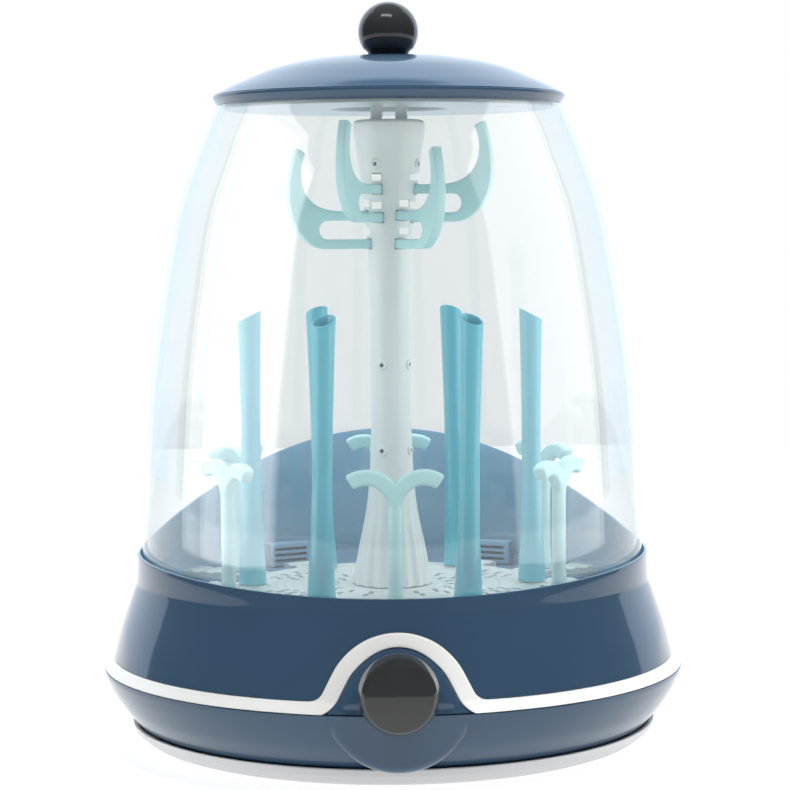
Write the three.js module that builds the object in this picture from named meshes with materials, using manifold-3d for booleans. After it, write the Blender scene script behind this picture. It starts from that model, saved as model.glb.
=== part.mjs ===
// Domed electric bottle steriliser and dryer: a round base with a front selector knob, a lift-out
// rack with bottle posts, a central tree with hooks, a clear dome and a lid with a ball knob.
// Millimetres, +Z up, front towards -Y. The origin is on the dome's axis, at the resting plane.
import * as THREE from 'three';
import { mergeVertices } from 'three/addons/utils/BufferGeometryUtils.js';
import Module from 'manifold-3d';

const wasm = await Module();
wasm.setup();

// ---------------------------------------------------------------- driving dimensions
const GAP = 0.3;                 // between touching pieces
const ROUND = 36;                // sides of the large turned shapes
const SMALL = 12;                // sides of the small turned shapes
const WALL = 2.6;                // moulded wall of the housings

const DISH = { footR: 124.3, lipR: 136, bottomZ: 1.5, floorZ: 4.2, lipZ: 11.8 };
const FOOT = { radius: 9, height: 2.9, circleR: 104 };
const SCREW = { headR: 3.4, headH: 2.2, shankR: 1.5, topZ: 19, circleR: 88 };

const SEAM_Z = 40;               // joint line between the lower housing and the trim
const SEAM_R = 150;              // largest radius of the object
const TRIM_TOP_Z = 45.4;
const LOWER = { floorZ: 7, floorR: 118, tuckR: 131.4, tuckZ: 10.8 };
const RIM = { foldZ: 84, wallZ: 88, radius: 132.8, frontZ: 92, sideZ: 99, backZ: 150, lean: 0.008 };
const DECK = { domeR: 130.9, domeZ: 79.7, rackR: 126.7, rackZ: 74, wellR: 117.5, wellZ: 60.5,
  plateR: 72 };

// The trim's arch over the knob, unrolled: crown arc, straight flank, fillet into the ring.
const ARCH = { crownZ: 41.8, crownR: 31.75, flank: 62.5, filletR: 10.7, filletZ: 52.9, halfWidth: 3.25 };

const BOARD_Z = 20;              // underside of the control board

const KNOB = { tilt: 5, z: 51.2, y: -154, backR: 19, frontR: 16.2, depth: 12.5, hubR: 9 };
const POD = { radius: 37.5, edge: 7, wall: 3, drop: 1.7, lowZ: 12.1 };

const PLATE = { flangeR: 71.4, bowlR: 58, bottomZ: 51.6, topZ: 59.8, sheet: 1.2 };
const FAN = { y: 90.5, casingR: 34, bottomZ: 12.2, topZ: 38, wall: 2, wheelR: 27, blades: 12, motorR: 12,
  shaftR: 1.5 };
const OUTLET = { azimuth: 152, innerR: 118.5, outerR: 125.2, halfWidth: 13, topZ: 88, wall: 1.6,
  louvres: 3, pitch: 3.2, slit: 1.4 };
const FILTER = { width: 58, bottomZ: 15.5, topZ: 32, foamDepth: 6.2, slots: 7 };

const GLAND = { azimuth: 155, z: 21, boreR: 2.6, plugR: 5.6, bossR: 9, bossStart: 131.5, bossEnd: 147.8 };

const RACK = { coreR: 78, armR: 126, armHalf: 9, petalR: 98, petalHalf: 12, topZ: 80, plateZ: 76.6,
  bottomZ: 74.3, spigotR: 13, spigotH: 15 };
const POST = { count: 6, circleR: 73, pegR: 4, baseR: 7.25, waistR: 5, topR: 6, waistZ: 150, topZ: 223,
  slant: 27, bore: 24, lean: 1.2 };
const TEAT = { count: 6, circleR: 96, pegR: 2.3, stemR: 3.45, armZ: 132, armX: 14, innerR: 9.7,
  outerR: 17.4, cut: 122.5 };

const TRUNK = { bottomZ: 80.3, topZ: 320.7, wall: 2.2, cap: 4, flutes: 8, eyeR: 1.1,
  eyes: [150, 194.5, 298], eyeAzimuth: -27 };
const HOOK = { thick: 5.5, arm: 5, pitch: 14.5, tongueR: 8.2, windowHalf: 2.65, windowLow: 4.5,
  windowHigh: 8.2 };
const HOOKS = [
  { name: 'tree_hook_upper_left', azimuth: -27, z: 270.5, windowX: -6.6 },
  { name: 'tree_hook_upper_right', azimuth: 69, z: 270.5, windowX: 13 },
  { name: 'tree_hook_lower_right', azimuth: 26.5, z: 257, windowX: 7.5 },
  { name: 'tree_hook_lower_left', azimuth: -68, z: 257, windowX: -13 },
];
const LOOP = { thick: 5.5, footX: 6.8, topX: 5.9, width: 6.2, topZ: 343 };

const DOME = { bottomZ: 80, wall: 2.5, topZ: 327.7, topR: 89.2 };
const LID = { rimR: 90.8, bottomZ: 328, seatR: 82.4, crownZ: 353.3, wall: 2.2, boreR: 2.2 };
const LINER = { edgeR: 84.6, lowZ: 326.1, sheet: 1.6, mouthR: 30, cupR: 13.6, cupZ: 346.4 };
const BALL = { radius: 15.5, z: 365.7, neckR: 10.4, neckZ: 357 };

const MATERIALS = {
  navy: { color: 0x3a5068, roughness: 0.22, metalness: 0 },
  white: { color: 0xf2f3f1, roughness: 0.35, metalness: 0 },
  teal: { color: 0x64b2c0, roughness: 0.4, metalness: 0 },
  mint: { color: 0xaed8d8, roughness: 0.4, metalness: 0 },
  clear: { color: 0xe4eeee, roughness: 0.05, metalness: 0, transparent: true, opacity: 0.25 },
  black: { color: 0x2d2e2e, roughness: 0.15, metalness: 0 },
  rubber: { color: 0x8f9496, roughness: 0.85, metalness: 0 },
  steel: { color: 0xb8bbbd, roughness: 0.3, metalness: 1 },
  board: { color: 0x2f6b4a, roughness: 0.6, metalness: 0 },
  foam: { color: 0x4a4d50, roughness: 0.95, metalness: 0 },
};

// ---------------------------------------------------------------- solids
const radians = (degrees) => (degrees * Math.PI) / 180;
const polar = (radius, azimuth) => [radius * Math.sin(radians(azimuth)),
  -radius * Math.cos(radians(azimuth))];

function toSolid(source) {
  const geometry = source.index ? source.clone() : mergeVertices(source.clone());
  geometry.deleteAttribute('normal');
  geometry.deleteAttribute('uv');
  const merged = mergeVertices(geometry, 1e-4);
  const index = merged.index.array;
  const triangles = [];
  for (let i = 0; i < index.length; i += 3) {
    const [a, b, c] = [index[i], index[i + 1], index[i + 2]];
    if (a !== b && b !== c && c !== a) triangles.push(a, b, c);
  }
  const vertProperties = new Float32Array(merged.attributes.position.array);
  const build = (triVerts) => new wasm.Manifold(new wasm.Mesh({ numProp: 3, vertProperties, triVerts }));
  const solid = build(new Uint32Array(triangles));
  if (solid.volume() > 0) return solid;
  return build(new Uint32Array(triangles.reverse()));
}

function toGeometry(solid) {
  const { vertProperties, triVerts } = solid.getMesh();
  const geometry = new THREE.BufferGeometry();
  geometry.setAttribute('position', new THREE.BufferAttribute(new Float32Array(vertProperties), 3));
  geometry.setIndex(new THREE.BufferAttribute(new Uint32Array(triVerts), 1));
  geometry.computeVertexNormals();
  return geometry;
}

// Turns a closed or axis-to-axis profile of [radius, height] points about +Z.
// reshape(point, azimuth) may move each point; azimuth is 0 at the front.
function turned(profile, sides = ROUND, reshape = null) {
  const points = profile.map(([radius, z]) => new THREE.Vector2(Math.max(radius, 0), z));
  const onAxis = ([radius]) => radius === 0;
  if (!onAxis(profile[0]) || !onAxis(profile.at(-1))) points.push(points[0].clone());
  const geometry = new THREE.LatheGeometry(points, sides).rotateX(Math.PI / 2);
  if (reshape) {
    const position = geometry.attributes.position;
    const point = new THREE.Vector3();
    for (let i = 0; i < position.count; i += 1) {
      point.fromBufferAttribute(position, i);
      reshape(point, Math.atan2(point.x, -point.y));
      position.setXYZ(i, point.x, point.y, point.z);
    }
  }
  return toSolid(geometry);
}

const ring = (inner, outer, low, high, sides = ROUND) =>
  turned([[inner, low], [outer, low], [outer, high], [inner, high]], sides);

const rod = (radius, low, high, sides = SMALL) =>
  turned([[0, low], [radius, low], [radius, high], [0, high]], sides);

function block(x0, x1, y0, y1, z0, z1) {
  const geometry = new THREE.BoxGeometry(x1 - x0, y1 - y0, z1 - z0);
  return toSolid(geometry.translate((x0 + x1) / 2, (y0 + y1) / 2, (z0 + z1) / 2));
}

// A flat outline drawn in X and Z, extruded along Y from y0 to y1.
function slab(shape, y0, y1, curveSegments = 6) {
  const geometry = new THREE.ExtrudeGeometry(shape, { depth: y1 - y0, bevelEnabled: false, curveSegments });
  return toSolid(geometry.rotateX(Math.PI / 2).translate(0, y1, 0));
}

const samples = (curve, count) => curve.getPoints(count).map((p) => [p.x, p.y]);
const spline = (points) => new THREE.SplineCurve(points.map(([r, z]) => new THREE.Vector2(r, z)));

const root = new THREE.Group();

function piece(name, solid, material, parent = root) {
  const mesh = new THREE.Mesh(toGeometry(solid), new THREE.MeshStandardMaterial(MATERIALS[material]));
  mesh.name = name;
  parent.add(mesh);
  return mesh;
}

function at(x, y, z, spin = 0) {
  const group = new THREE.Group();
  group.position.set(x, y, z);
  group.rotation.z = spin;
  root.add(group);
  return group;
}

// ---------------------------------------------------------------- foot dish, feet and screws
function makeFootDish() {
  let dish = turned([
    [0, DISH.bottomZ], [DISH.footR - 2, DISH.bottomZ], [DISH.footR, DISH.bottomZ + 1],
    [131, 5.4], [DISH.lipR, DISH.lipZ - 1], [DISH.lipR - 0.6, DISH.lipZ],
    [DISH.lipR - 2.6, DISH.lipZ - 0.4], [129, 6.6], [DISH.footR - 3, DISH.floorZ], [0, DISH.floorZ],
  ]);
  const pocket = rod(FOOT.radius + GAP, -1, FOOT.height + GAP);
  const bore = rod(SCREW.headR + GAP, 0, DISH.bottomZ + SCREW.headH / 2)
    .add(rod(SCREW.shankR + 2 * GAP, 0, 10));
  for (let corner = 45; corner < 360; corner += 90) {
    const [fx, fy] = polar(FOOT.circleR, corner);
    const [sx, sy] = polar(SCREW.circleR, corner);
    dish = dish.subtract(pocket.translate(fx, fy, 0)).subtract(bore.translate(sx, sy, 0));
  }
  piece('foot_dish', dish, 'white');
}

function makeFeetAndScrews() {
  const { radius, height } = FOOT;
  const foot = turned([[0, 0], [radius - 0.8, 0], [radius, 0.8], [radius, height], [0, height]], SMALL);
  const headZ = DISH.bottomZ + SCREW.headH / 2 - GAP;
  const screw = rod(SCREW.headR, headZ - SCREW.headH / 2, headZ)
    .add(rod(SCREW.shankR, headZ - 0.5, SCREW.topZ));
  for (let corner = 0; corner < 4; corner += 1) {
    const azimuth = 45 + 90 * corner;
    piece(`rubber_foot_${corner + 1}`, foot, 'rubber', at(...polar(FOOT.circleR, azimuth), 0));
    piece(`base_screw_${corner + 1}`, screw, 'steel', at(...polar(SCREW.circleR, azimuth), 0));
  }
}

// ---------------------------------------------------------------- lower housing, filter door and cord gland
const lowerOutline = () => [
  [LOWER.tuckR, LOWER.tuckZ], [134, 13], [137.6, 17.3], [143, 24], [147.4, 31.5],
  [SEAM_R, 38], [SEAM_R, SEAM_Z],
];

const knobFrame = (solid) => solid.rotate([90 - KNOB.tilt, 0, 0]).translate(0, KNOB.y, KNOB.z);

const alongGland = (solid) => solid.rotate([-90, 0, GLAND.azimuth - 180]).translate(0, 0, GLAND.z);

// The round pod below the knob, cut back to the seam radius and to below the seam.
function makePod(radius, frontY, edge) {
  const depth = -KNOB.y + frontY;
  const drum = turned([[0, depth - 40], [radius, depth - 40], [radius, depth - edge],
    [radius - 0.3 * edge, depth - 0.3 * edge], [radius - edge, depth], [0, depth]], 24);
  const reach = rod(-frontY, POD.lowZ, SEAM_Z, ROUND);
  return knobFrame(drum.translate(0, -POD.drop, -2 * depth + 4)).intersect(reach);
}

function lowerShell() {
  const outer = lowerOutline();
  const inner = [outer[6], outer[4], outer[2]].map(([r, z]) => [r - WALL, z]);
  const { floorR, floorZ, tuckR, tuckZ } = LOWER;
  return turned([[0, floorZ], [floorR, floorZ], ...outer, ...inner, [tuckR - 2, tuckZ + WALL],
    [floorR - 1, floorZ + WALL], [0, floorZ + WALL]]);
}

function filterWindow(grow) {
  const half = FILTER.width / 2 + grow;
  return block(-half, half, 120, 160, FILTER.bottomZ - grow, FILTER.topZ + grow);
}

function makeLowerHousing() {
  const hollow = makePod(POD.radius - POD.wall, -SEAM_R + POD.wall, POD.edge - 2)
    .intersect(rod(SEAM_R, POD.lowZ + POD.wall, SEAM_Z, ROUND));
  let shell = lowerShell().add(makePod(POD.radius, -SEAM_R, POD.edge)).subtract(hollow);
  shell = shell.intersect(rod(SEAM_R + 5, 0, SEAM_Z - GAP / 2, ROUND));
  for (let corner = 45; corner < 360; corner += 90) {
    const [x, y] = polar(SCREW.circleR, corner);
    shell = shell.add(rod(4.2, LOWER.floorZ + 0.5, SCREW.topZ + 2, 12).translate(x, y, 0));
    shell = shell.subtract(rod(SCREW.shankR + GAP, 0, SCREW.topZ + 0.6, 12).translate(x, y, 0));
  }
  const pillar = (x, y, topZ) => rod(3, LOWER.floorZ + 0.5, topZ, 8).translate(x, y, 0);
  for (const [x, y] of [[-108, -18], [-60, -18], [-108, 22], [-60, 22]]) {
    shell = shell.add(pillar(x, y, BOARD_Z - GAP));
  }
  for (const [x, y] of [[-22, 74], [22, 74], [0, 110]]) {
    shell = shell.add(pillar(x, y, FAN.bottomZ - GAP));
  }
  shell = shell.subtract(filterWindow(0)).add(alongGland(rod(GLAND.bossR, GLAND.bossStart, GLAND.bossEnd)));
  shell = shell.subtract(alongGland(rod(GLAND.plugR + GAP, 100, 170)));
  piece('lower_housing', shell, 'navy');
}

// A louvred door in the back of the lower housing, with a foam filter clipped behind it.
function makeFilterDoor() {
  let door = lowerShell().intersect(filterWindow(-GAP));
  const pitch = FILTER.width / (FILTER.slots + 1);
  for (let slot = 1; slot <= FILTER.slots; slot += 1) {
    const x = -FILTER.width / 2 + slot * pitch;
    door = door.subtract(block(x - 1.2, x + 1.2, 120, 160, FILTER.bottomZ + 3.5, FILTER.topZ - 3.5));
  }
  piece('filter_door', door, 'navy');
  const half = FILTER.width / 2 - 4;
  const foam = block(-half, half, 125.5, 125.5 + FILTER.foamDepth, FILTER.bottomZ + 1.5, FILTER.topZ - 1.5);
  piece('air_filter', foam, 'foam');
}

function makeCordGland() {
  const { plugR, boreR, bossEnd } = GLAND;
  const start = bossEnd - 14;
  const bushing = turned([[boreR, start], [plugR, start], [plugR, bossEnd + GAP],
    [plugR + 2.4, bossEnd + GAP],
    [plugR + 2.4, bossEnd + 2], [plugR - 1, bossEnd + 4], [boreR, bossEnd + 4]], SMALL);
  piece('cord_gland', alongGland(bushing), 'black');
}

// ---------------------------------------------------------------- trim band and its arch
function archEdge(shape, offset, towardsRight) {
  const side = towardsRight ? 1 : -1;
  const flank = radians(ARCH.flank);
  const { crownZ, crownR, filletZ, filletR } = ARCH;
  const drop = crownZ + crownR * Math.cos(flank) - (filletZ - filletR * Math.cos(flank));
  const filletX = (crownR + filletR) * Math.sin(flank) + drop / Math.tan(flank);
  const fillet = (sign, from, to) =>
    shape.absarc(sign * filletX, filletZ, filletR - offset, from, to, !towardsRight);
  const bottom = -Math.PI / 2;
  fillet(-side, bottom, bottom + side * flank);
  shape.absarc(0, crownZ, crownR + offset, -bottom + side * flank, -bottom - side * flank, towardsRight);
  fillet(side, bottom - side * flank, bottom);
}

function archBand(grow) {
  const shape = new THREE.Shape();
  archEdge(shape, ARCH.halfWidth + grow, true);
  archEdge(shape, -ARCH.halfWidth - grow, false);
  return slab(shape, -170, -110, 5);
}

function archInside(grow) {
  const shape = new THREE.Shape();
  archEdge(shape, -ARCH.halfWidth - grow, true);
  return slab(shape, -170, -110, 5);
}

// Outer surface above the seam: a sloping brim, then a long taper up to the fold of the collar.
const brimOutline = () => [[SEAM_R, SEAM_Z + GAP / 2], [145.4, TRIM_TOP_Z]];
const skirtOutline = () => samples(spline([[145.4, TRIM_TOP_Z], [141.6, 60], [136.6, 74.5],
  [133.2, RIM.foldZ]]), 3);

function outerLayer(depth, lowZ, proud) {
  const surface = [...brimOutline(), ...skirtOutline().slice(1)];
  const outer = surface.map(([r, z]) => [r + proud, Math.max(z, lowZ)]);
  const inner = outer.map(([r, z]) => [r - depth - proud, z]).reverse();
  return turned([...outer, ...inner]);
}

function trimSolid(grow) {
  const layer = outerLayer(2.4 + grow, SEAM_Z + GAP / 2, grow ? 3 : 0);
  const band = rod(SEAM_R + 5, SEAM_Z - 1, TRIM_TOP_Z + grow, ROUND).subtract(archInside(grow));
  return layer.intersect(band.add(archBand(grow)));
}

// ---------------------------------------------------------------- upper housing
// Height of the collar's edge: low in front, level with the fold at the sides, high behind the dome.
function rimHeight(azimuth) {
  const away = Math.abs(azimuth);
  if (away <= Math.PI / 2) return RIM.frontZ + (RIM.sideZ - RIM.frontZ) * Math.sin(away) ** 2;
  return RIM.sideZ + (RIM.backZ - RIM.sideZ) * Math.cos(away) ** 2;
}

function upperShell() {
  const skirt = skirtOutline();
  const inside = skirt.slice(0, 2).map(([r, z]) => [r - 5.4 + (z - TRIM_TOP_Z) * 0.07, z]).reverse();
  const nominal = RIM.frontZ;
  const profile = [
    [SEAM_R - 0.2, SEAM_Z + GAP], ...skirt, [RIM.radius, RIM.wallZ], [RIM.radius - 0.4, nominal - 1],
    [RIM.radius - 1.1, nominal], [DECK.domeR + 0.2, nominal - 0.6], [DECK.domeR, RIM.wallZ],
    [DECK.domeR, DECK.domeZ], [DECK.rackR, DECK.domeZ], [DECK.rackR, DECK.rackZ], [DECK.wellR, DECK.rackZ],
    [DECK.wellR - 2, DECK.wellZ], [DECK.plateR, DECK.wellZ - 1.8], [DECK.plateR, 57], [64, 57], [64, 54.8],
    [DECK.wellR, 57.6], [DECK.wellR + 2.2, DECK.rackZ - 3], [skirt[2][0] - 4.2, DECK.rackZ - 3],
    ...inside, [139.6, SEAM_Z + GAP],
  ];
  return turned(profile, ROUND, (point, azimuth) => {
    const radius = Math.hypot(point.x, point.y);
    if (point.z <= RIM.wallZ) return;
    const rise = rimHeight(azimuth) - nominal;
    point.z += rise;
    const lean = 1 - (RIM.lean * Math.max(rise, 0)) / radius;
    point.x *= lean;
    point.y *= lean;
  });
}

function makeHousingTop() {
  const shaftHole = knobFrame(rod(4.6, -40, 20, SMALL));
  let shell = upperShell().subtract(trimSolid(GAP)).subtract(shaftHole);
  for (const side of [-1, 1]) shell = shell.subtract(atOutlet(block(-9, 9, 120.5, 123.5, 60, 76), side));
  piece('upper_housing', shell, 'navy');
  piece('trim_band', trimSolid(0), 'white');
}

const atOutlet = (solid, side) => solid.rotate([0, 0, side * (OUTLET.azimuth - 180)]);

// Two louvred hot-air outlets that stand on the deck behind the rack, inside the dome.
function makeAirOutlets() {
  const { innerR, outerR, halfWidth, topZ, wall, louvres, pitch, slit } = OUTLET;
  const lowZ = DECK.rackZ + GAP;
  let tower = block(-halfWidth, halfWidth, innerR, outerR, lowZ, topZ);
  const inside = halfWidth - wall;
  tower = tower.subtract(block(-inside, inside, innerR + wall, outerR - wall, lowZ - 1, topZ - wall));
  for (let louvre = 0; louvre < louvres; louvre += 1) {
    const z = lowZ + (louvre + 1) * pitch;
    tower = tower.subtract(block(3 - halfWidth, halfWidth - 3, innerR - 1, innerR + wall + 1, z, z + slit));
  }
  piece('air_outlet_right', atOutlet(tower, 1), 'navy');
  piece('air_outlet_left', atOutlet(tower, -1), 'navy');
}

// ---------------------------------------------------------------- heater, fan and electronics
function makeHeater() {
  const { flangeR, bowlR, bottomZ, topZ, sheet } = PLATE;
  const rimR = bowlR + 5;
  const dish = turned([[0, bottomZ], [bowlR, bottomZ], [rimR, topZ - sheet], [flangeR, topZ - sheet],
    [flangeR, topZ], [rimR - 0.6, topZ], [bowlR - 0.6, bottomZ + sheet], [0, bottomZ + sheet]]);
  piece('heating_plate', dish, 'steel');
  piece('plate_gasket', ring(64.4, flangeR - 0.6, 57.3, 58.3, 32), 'rubber');

  const sweep = radians(150);
  const coil = new THREE.CatmullRomCurve3([]);
  for (let step = 0; step <= 12; step += 1) {
    const turn = -sweep + (2 * sweep * step) / 12;
    coil.points.push(new THREE.Vector3(45 * Math.sin(turn), 45 * Math.cos(turn), 48));
  }
  const section = new THREE.Shape();
  section.absarc(0, 0, 3, 0, 2 * Math.PI, false);
  const tube = new THREE.ExtrudeGeometry(section, { steps: 24, extrudePath: coil, curveSegments: 4 });
  piece('heating_element', toSolid(tube), 'steel');
  piece('thermostat', rod(11, 44, 51.2).add(rod(8, 40, 45)).add(block(-5, 5, -14, 14, 46, 47.2)), 'black');
}

function makeFan() {
  const { casingR, bottomZ, topZ, wheelR, blades, motorR, shaftR, wall } = FAN;
  const bay = at(0, FAN.y, 0);
  const duct = { half: 16, front: 15, back: 30, topZ: 53 };
  const ductShell = block(-duct.half, duct.half, duct.front, duct.back, topZ - 3, duct.topZ);
  const boreHalf = duct.half - wall;
  const ductBore = block(-boreHalf, boreHalf, duct.front + wall, duct.back - wall, topZ - 4, 60);
  const casing = rod(casingR, bottomZ, topZ, 24).add(ductShell).subtract(ductBore)
    .subtract(rod(casingR - wall, bottomZ + wall, topZ - wall, 24))
    .subtract(block(-12, 12, 20, 40, 17, 30)).subtract(rod(shaftR + 0.9, topZ - 5, topZ + 5));
  piece('fan_casing', casing, 'black', bay);

  let wheel = rod(wheelR, 30, 31.5, 24).add(rod(6, 20, 31));
  for (let blade = 0; blade < blades; blade += 1) {
    wheel = wheel.add(block(10, wheelR - 1, -0.6, 0.6, 16, 30.5).rotate([0, 0, (360 * blade) / blades]));
  }
  piece('fan_wheel', wheel.subtract(rod(shaftR + GAP, 10, 40)), 'white', bay);
  piece('fan_shaft', rod(shaftR, 20.3, 47), 'steel', bay);
  piece('fan_motor', rod(motorR, topZ + GAP, 52, 20).subtract(rod(shaftR + GAP, 30, 48)), 'black', bay);
}

function makeElectronics() {
  const sheetTop = BOARD_Z + 1.6;
  const relay = block(-106, -88, -16, 0, BOARD_Z, 33);
  const transformer = block(-80, -62, -12, 4, BOARD_Z, 38);
  const connector = block(-104, -92, 8, 20, BOARD_Z, 28);
  const capacitor = rod(5, BOARD_Z, 36).translate(-72, 16, 0);
  const board = block(-112, -56, -22, 26, BOARD_Z, sheetTop);
  piece('control_board', board.add(relay).add(transformer).add(connector).add(capacitor), 'board');
}

// ---------------------------------------------------------------- selector knob and its switch
function makeSelector() {
  const frame = new THREE.Group();
  frame.position.set(0, KNOB.y, KNOB.z);
  frame.rotation.x = Math.PI / 2 - radians(KNOB.tilt);
  root.add(frame);
  const { backR, frontR, depth, hubR } = KNOB;
  const cap = turned([[0, 3], [3.3, 3], [3.3, -4.4], [hubR, -4.4], [hubR, 0], [backR, 0], [backR, 2.2],
    [frontR + 0.6, depth - 1.6], [frontR - 0.6, depth - 0.3], [0, depth]], 32);
  piece('selector_knob', cap, 'black', frame);
  piece('selector_shaft', rod(3, -27, 2.3, 12), 'steel', frame);
  const body = block(-13, 13, -13, 13, -34.4, -27.6).add(rod(7, -28, -17.2));
  piece('selector_switch', body.subtract(rod(3.4, -27.9, 0)), 'black', frame);
}

// ---------------------------------------------------------------- rack and posts
// Edge of the rack: a round core, a long arm under each teat post and a short petal under each bottle post.
function rackOutline() {
  const { coreR, armR, armHalf, petalR, petalHalf } = RACK;
  const shape = new THREE.Shape();
  const edge = [];
  const tongue = (azimuth, reach, half) => {
    for (const [radius, side] of [[coreR, -1], [reach, -1], [reach, 1], [coreR, 1]]) {
      edge.push(polar(radius, azimuth + (side * Math.asin(half / radius) * 180) / Math.PI));
    }
  };
  for (let turn = 0; turn < 360; turn += 60) {
    tongue(turn, armR, armHalf);
    edge.push(polar(coreR, turn + 14));
    tongue(turn + 30, petalR, petalHalf);
    edge.push(polar(coreR, turn + 46));
  }
  shape.setFromPoints(edge.map(([x, y]) => new THREE.Vector2(x, y)));
  return shape;
}

function roundHole(x, y, radius) {
  const hole = new THREE.Path();
  hole.absarc(x, y, radius, 0, 2 * Math.PI, false);
  return hole;
}

function drainSlot(inner, outer, azimuth, halfWidth) {
  const corner = (radius, offset) => {
    const [x, y] = polar(radius, azimuth);
    const turn = radians(azimuth);
    return new THREE.Vector2(x + offset * Math.cos(turn), y + offset * Math.sin(turn));
  };
  return new THREE.Path([corner(inner, -halfWidth), corner(inner, halfWidth), corner(outer, halfWidth),
    corner(outer, -halfWidth)]);
}

function makeRack() {
  const { topZ, bottomZ, plateZ, spigotR, spigotH } = RACK;
  const shape = rackOutline();
  for (let index = 0; index < POST.count; index += 1) {
    const turn = 60 * index;
    shape.holes.push(roundHole(...polar(POST.circleR, 30 + turn), POST.pegR + 0.4));
    shape.holes.push(roundHole(...polar(TEAT.circleR, turn), TEAT.pegR + 0.5));
    for (const offset of [-9, 0, 9]) shape.holes.push(drainSlot(52, 70, turn + offset, 1.3));
    for (const offset of [-20, 0, 20]) shape.holes.push(drainSlot(28, 44, turn + offset, 1.3));
  }
  const options = { depth: topZ - plateZ, bevelEnabled: false, curveSegments: 4 };
  const plate = new THREE.ExtrudeGeometry(shape, options).translate(0, 0, plateZ);
  let rack = toSolid(plate).add(rod(spigotR, topZ - 1, topZ + spigotH));
  for (let index = 0; index < POST.count; index += 1) {
    const lug = block(-RACK.armHalf + 1, RACK.armHalf - 1, 118.5, 124, bottomZ, plateZ + 1);
    rack = rack.add(lug.rotate([0, 0, 60 * index]));
  }
  piece('rack', rack, 'white');
}

// A hollow post that narrows at the waist and leans round the tree; its slanted mouth is highest on the
// side of the tree.
function makePosts() {
  const base = RACK.topZ + GAP;
  const { pegR, baseR, waistR, topR, waistZ, topZ, bore } = POST;
  const curve = spline([[baseR, base + 1], [5.7, 112], [waistR, waistZ], [5.35, 190], [topR, topZ]]);
  const side = samples(curve, 3);
  const tube = turned([[0, base - 4], [pegR, base - 4], [pegR, base], [baseR, base], ...side,
    [topR - 1.4, topZ], [topR - 2, topZ - bore], [0, topZ - bore]], 10);
  const cutter = block(-20, 20, -20, 20, 0, 20).rotate([-POST.slant, 0, 0]);
  const slanted = tube.subtract(cutter.translate(0, -topR, topZ));
  const leaning = slanted.translate(0, 0, -base).rotate([0, -POST.lean, 0]).translate(0, 0, base);
  for (let index = 0; index < POST.count; index += 1) {
    const azimuth = 30 + 60 * index;
    const spin = radians(azimuth) + Math.PI;
    piece(`bottle_post_${index + 1}`, leaning, 'teal', at(...polar(POST.circleR, azimuth), 0, spin));
  }
}

// A slim stem that splits into two drooping arms, which hold a teat between them.
function teatArm(side) {
  const shape = new THREE.Shape();
  const from = side > 0 ? Math.PI : 0;
  const to = side > 0 ? Math.PI - radians(TEAT.cut) : radians(TEAT.cut);
  shape.absarc(side * TEAT.armX, TEAT.armZ, TEAT.outerR, from, to, side > 0);
  shape.absarc(side * TEAT.armX, TEAT.armZ, TEAT.innerR, to, from, side < 0);
  return slab(shape, -TEAT.stemR, TEAT.stemR, 4);
}

function makeTeatPosts() {
  const base = RACK.topZ + GAP;
  const { pegR, stemR, armZ } = TEAT;
  const stem = turned([[0, base - 3.6], [pegR, base - 3.6], [pegR, base], [stemR + 0.8, base],
    [stemR, base + 12], [stemR, armZ + 3], [0, armZ + 3]], 8);
  const post = stem.add(teatArm(1)).add(teatArm(-1));
  for (let index = 0; index < TEAT.count; index += 1) {
    const azimuth = 60 * index;
    piece(`teat_post_${index + 1}`, post, 'mint', at(...polar(TEAT.circleR, azimuth), 0, radians(azimuth)));
  }
}

// ---------------------------------------------------------------- tree: trunk, lifting loop and hooks
const trunkCurve = () => spline([[20.7, TRUNK.bottomZ], [17.6, 98], [12.8, 123], [10.7, 155], [10.3, 200],
  [11.6, 253], [16.1, 298], [18.6, 315]]);

function makeTrunk() {
  const outer = samples(trunkCurve(), 9);
  const inner = outer.slice(0, -1).map(([r, z]) => [r - TRUNK.wall, z]).reverse();
  const flute = (point, azimuth) => {
    const depth = 0.045 * Math.max(0, 1 - (point.z - TRUNK.bottomZ) / 50);
    const scale = 1 - depth * (0.5 - 0.5 * Math.cos(TRUNK.flutes * azimuth));
    point.x *= scale;
    point.y *= scale;
  };
  const { topZ, cap } = TRUNK;
  let trunk = turned([...outer, [17.8, topZ - 0.9], [16.4, topZ], [0, topZ], [0, topZ - cap],
    [15.4, topZ - cap], ...inner], 16, flute);
  // Above each tongue's slot, a small window runs straight through from front to back.
  const { windowHalf, windowLow, windowHigh } = HOOK;
  for (const { azimuth, z, windowX } of HOOKS) {
    for (const armZ of [z, z + HOOK.pitch]) {
      const half = { y: HOOK.thick / 2 + GAP, z: HOOK.arm / 2 + GAP };
      const slot = block(6, 30, -half.y, half.y, armZ - half.z, armZ + half.z);
      trunk = trunk.subtract(slot.rotate([0, 0, azimuth - 90]));
      trunk = trunk.subtract(block(windowX - windowHalf, windowX + windowHalf, -30, 30,
        armZ + windowLow, armZ + windowHigh));
    }
  }
  for (const z of TRUNK.eyes) {
    for (let quarter = 0; quarter < 4; quarter += 1) {
      const eye = rod(TRUNK.eyeR, 4, 30, 6).rotate([0, 90, 0]).translate(0, 0, z);
      trunk = trunk.subtract(eye.rotate([0, 0, TRUNK.eyeAzimuth + 90 * quarter]));
    }
  }
  const socket = { x: LOOP.width / 2 + GAP, y: LOOP.thick / 2 + GAP };
  for (const x of [-LOOP.footX, LOOP.footX]) {
    trunk = trunk.subtract(block(x - socket.x, x + socket.x, -socket.y, socket.y, topZ - cap - 1, topZ + 1));
  }
  piece('tree_trunk', trunk, 'white');
}

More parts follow.
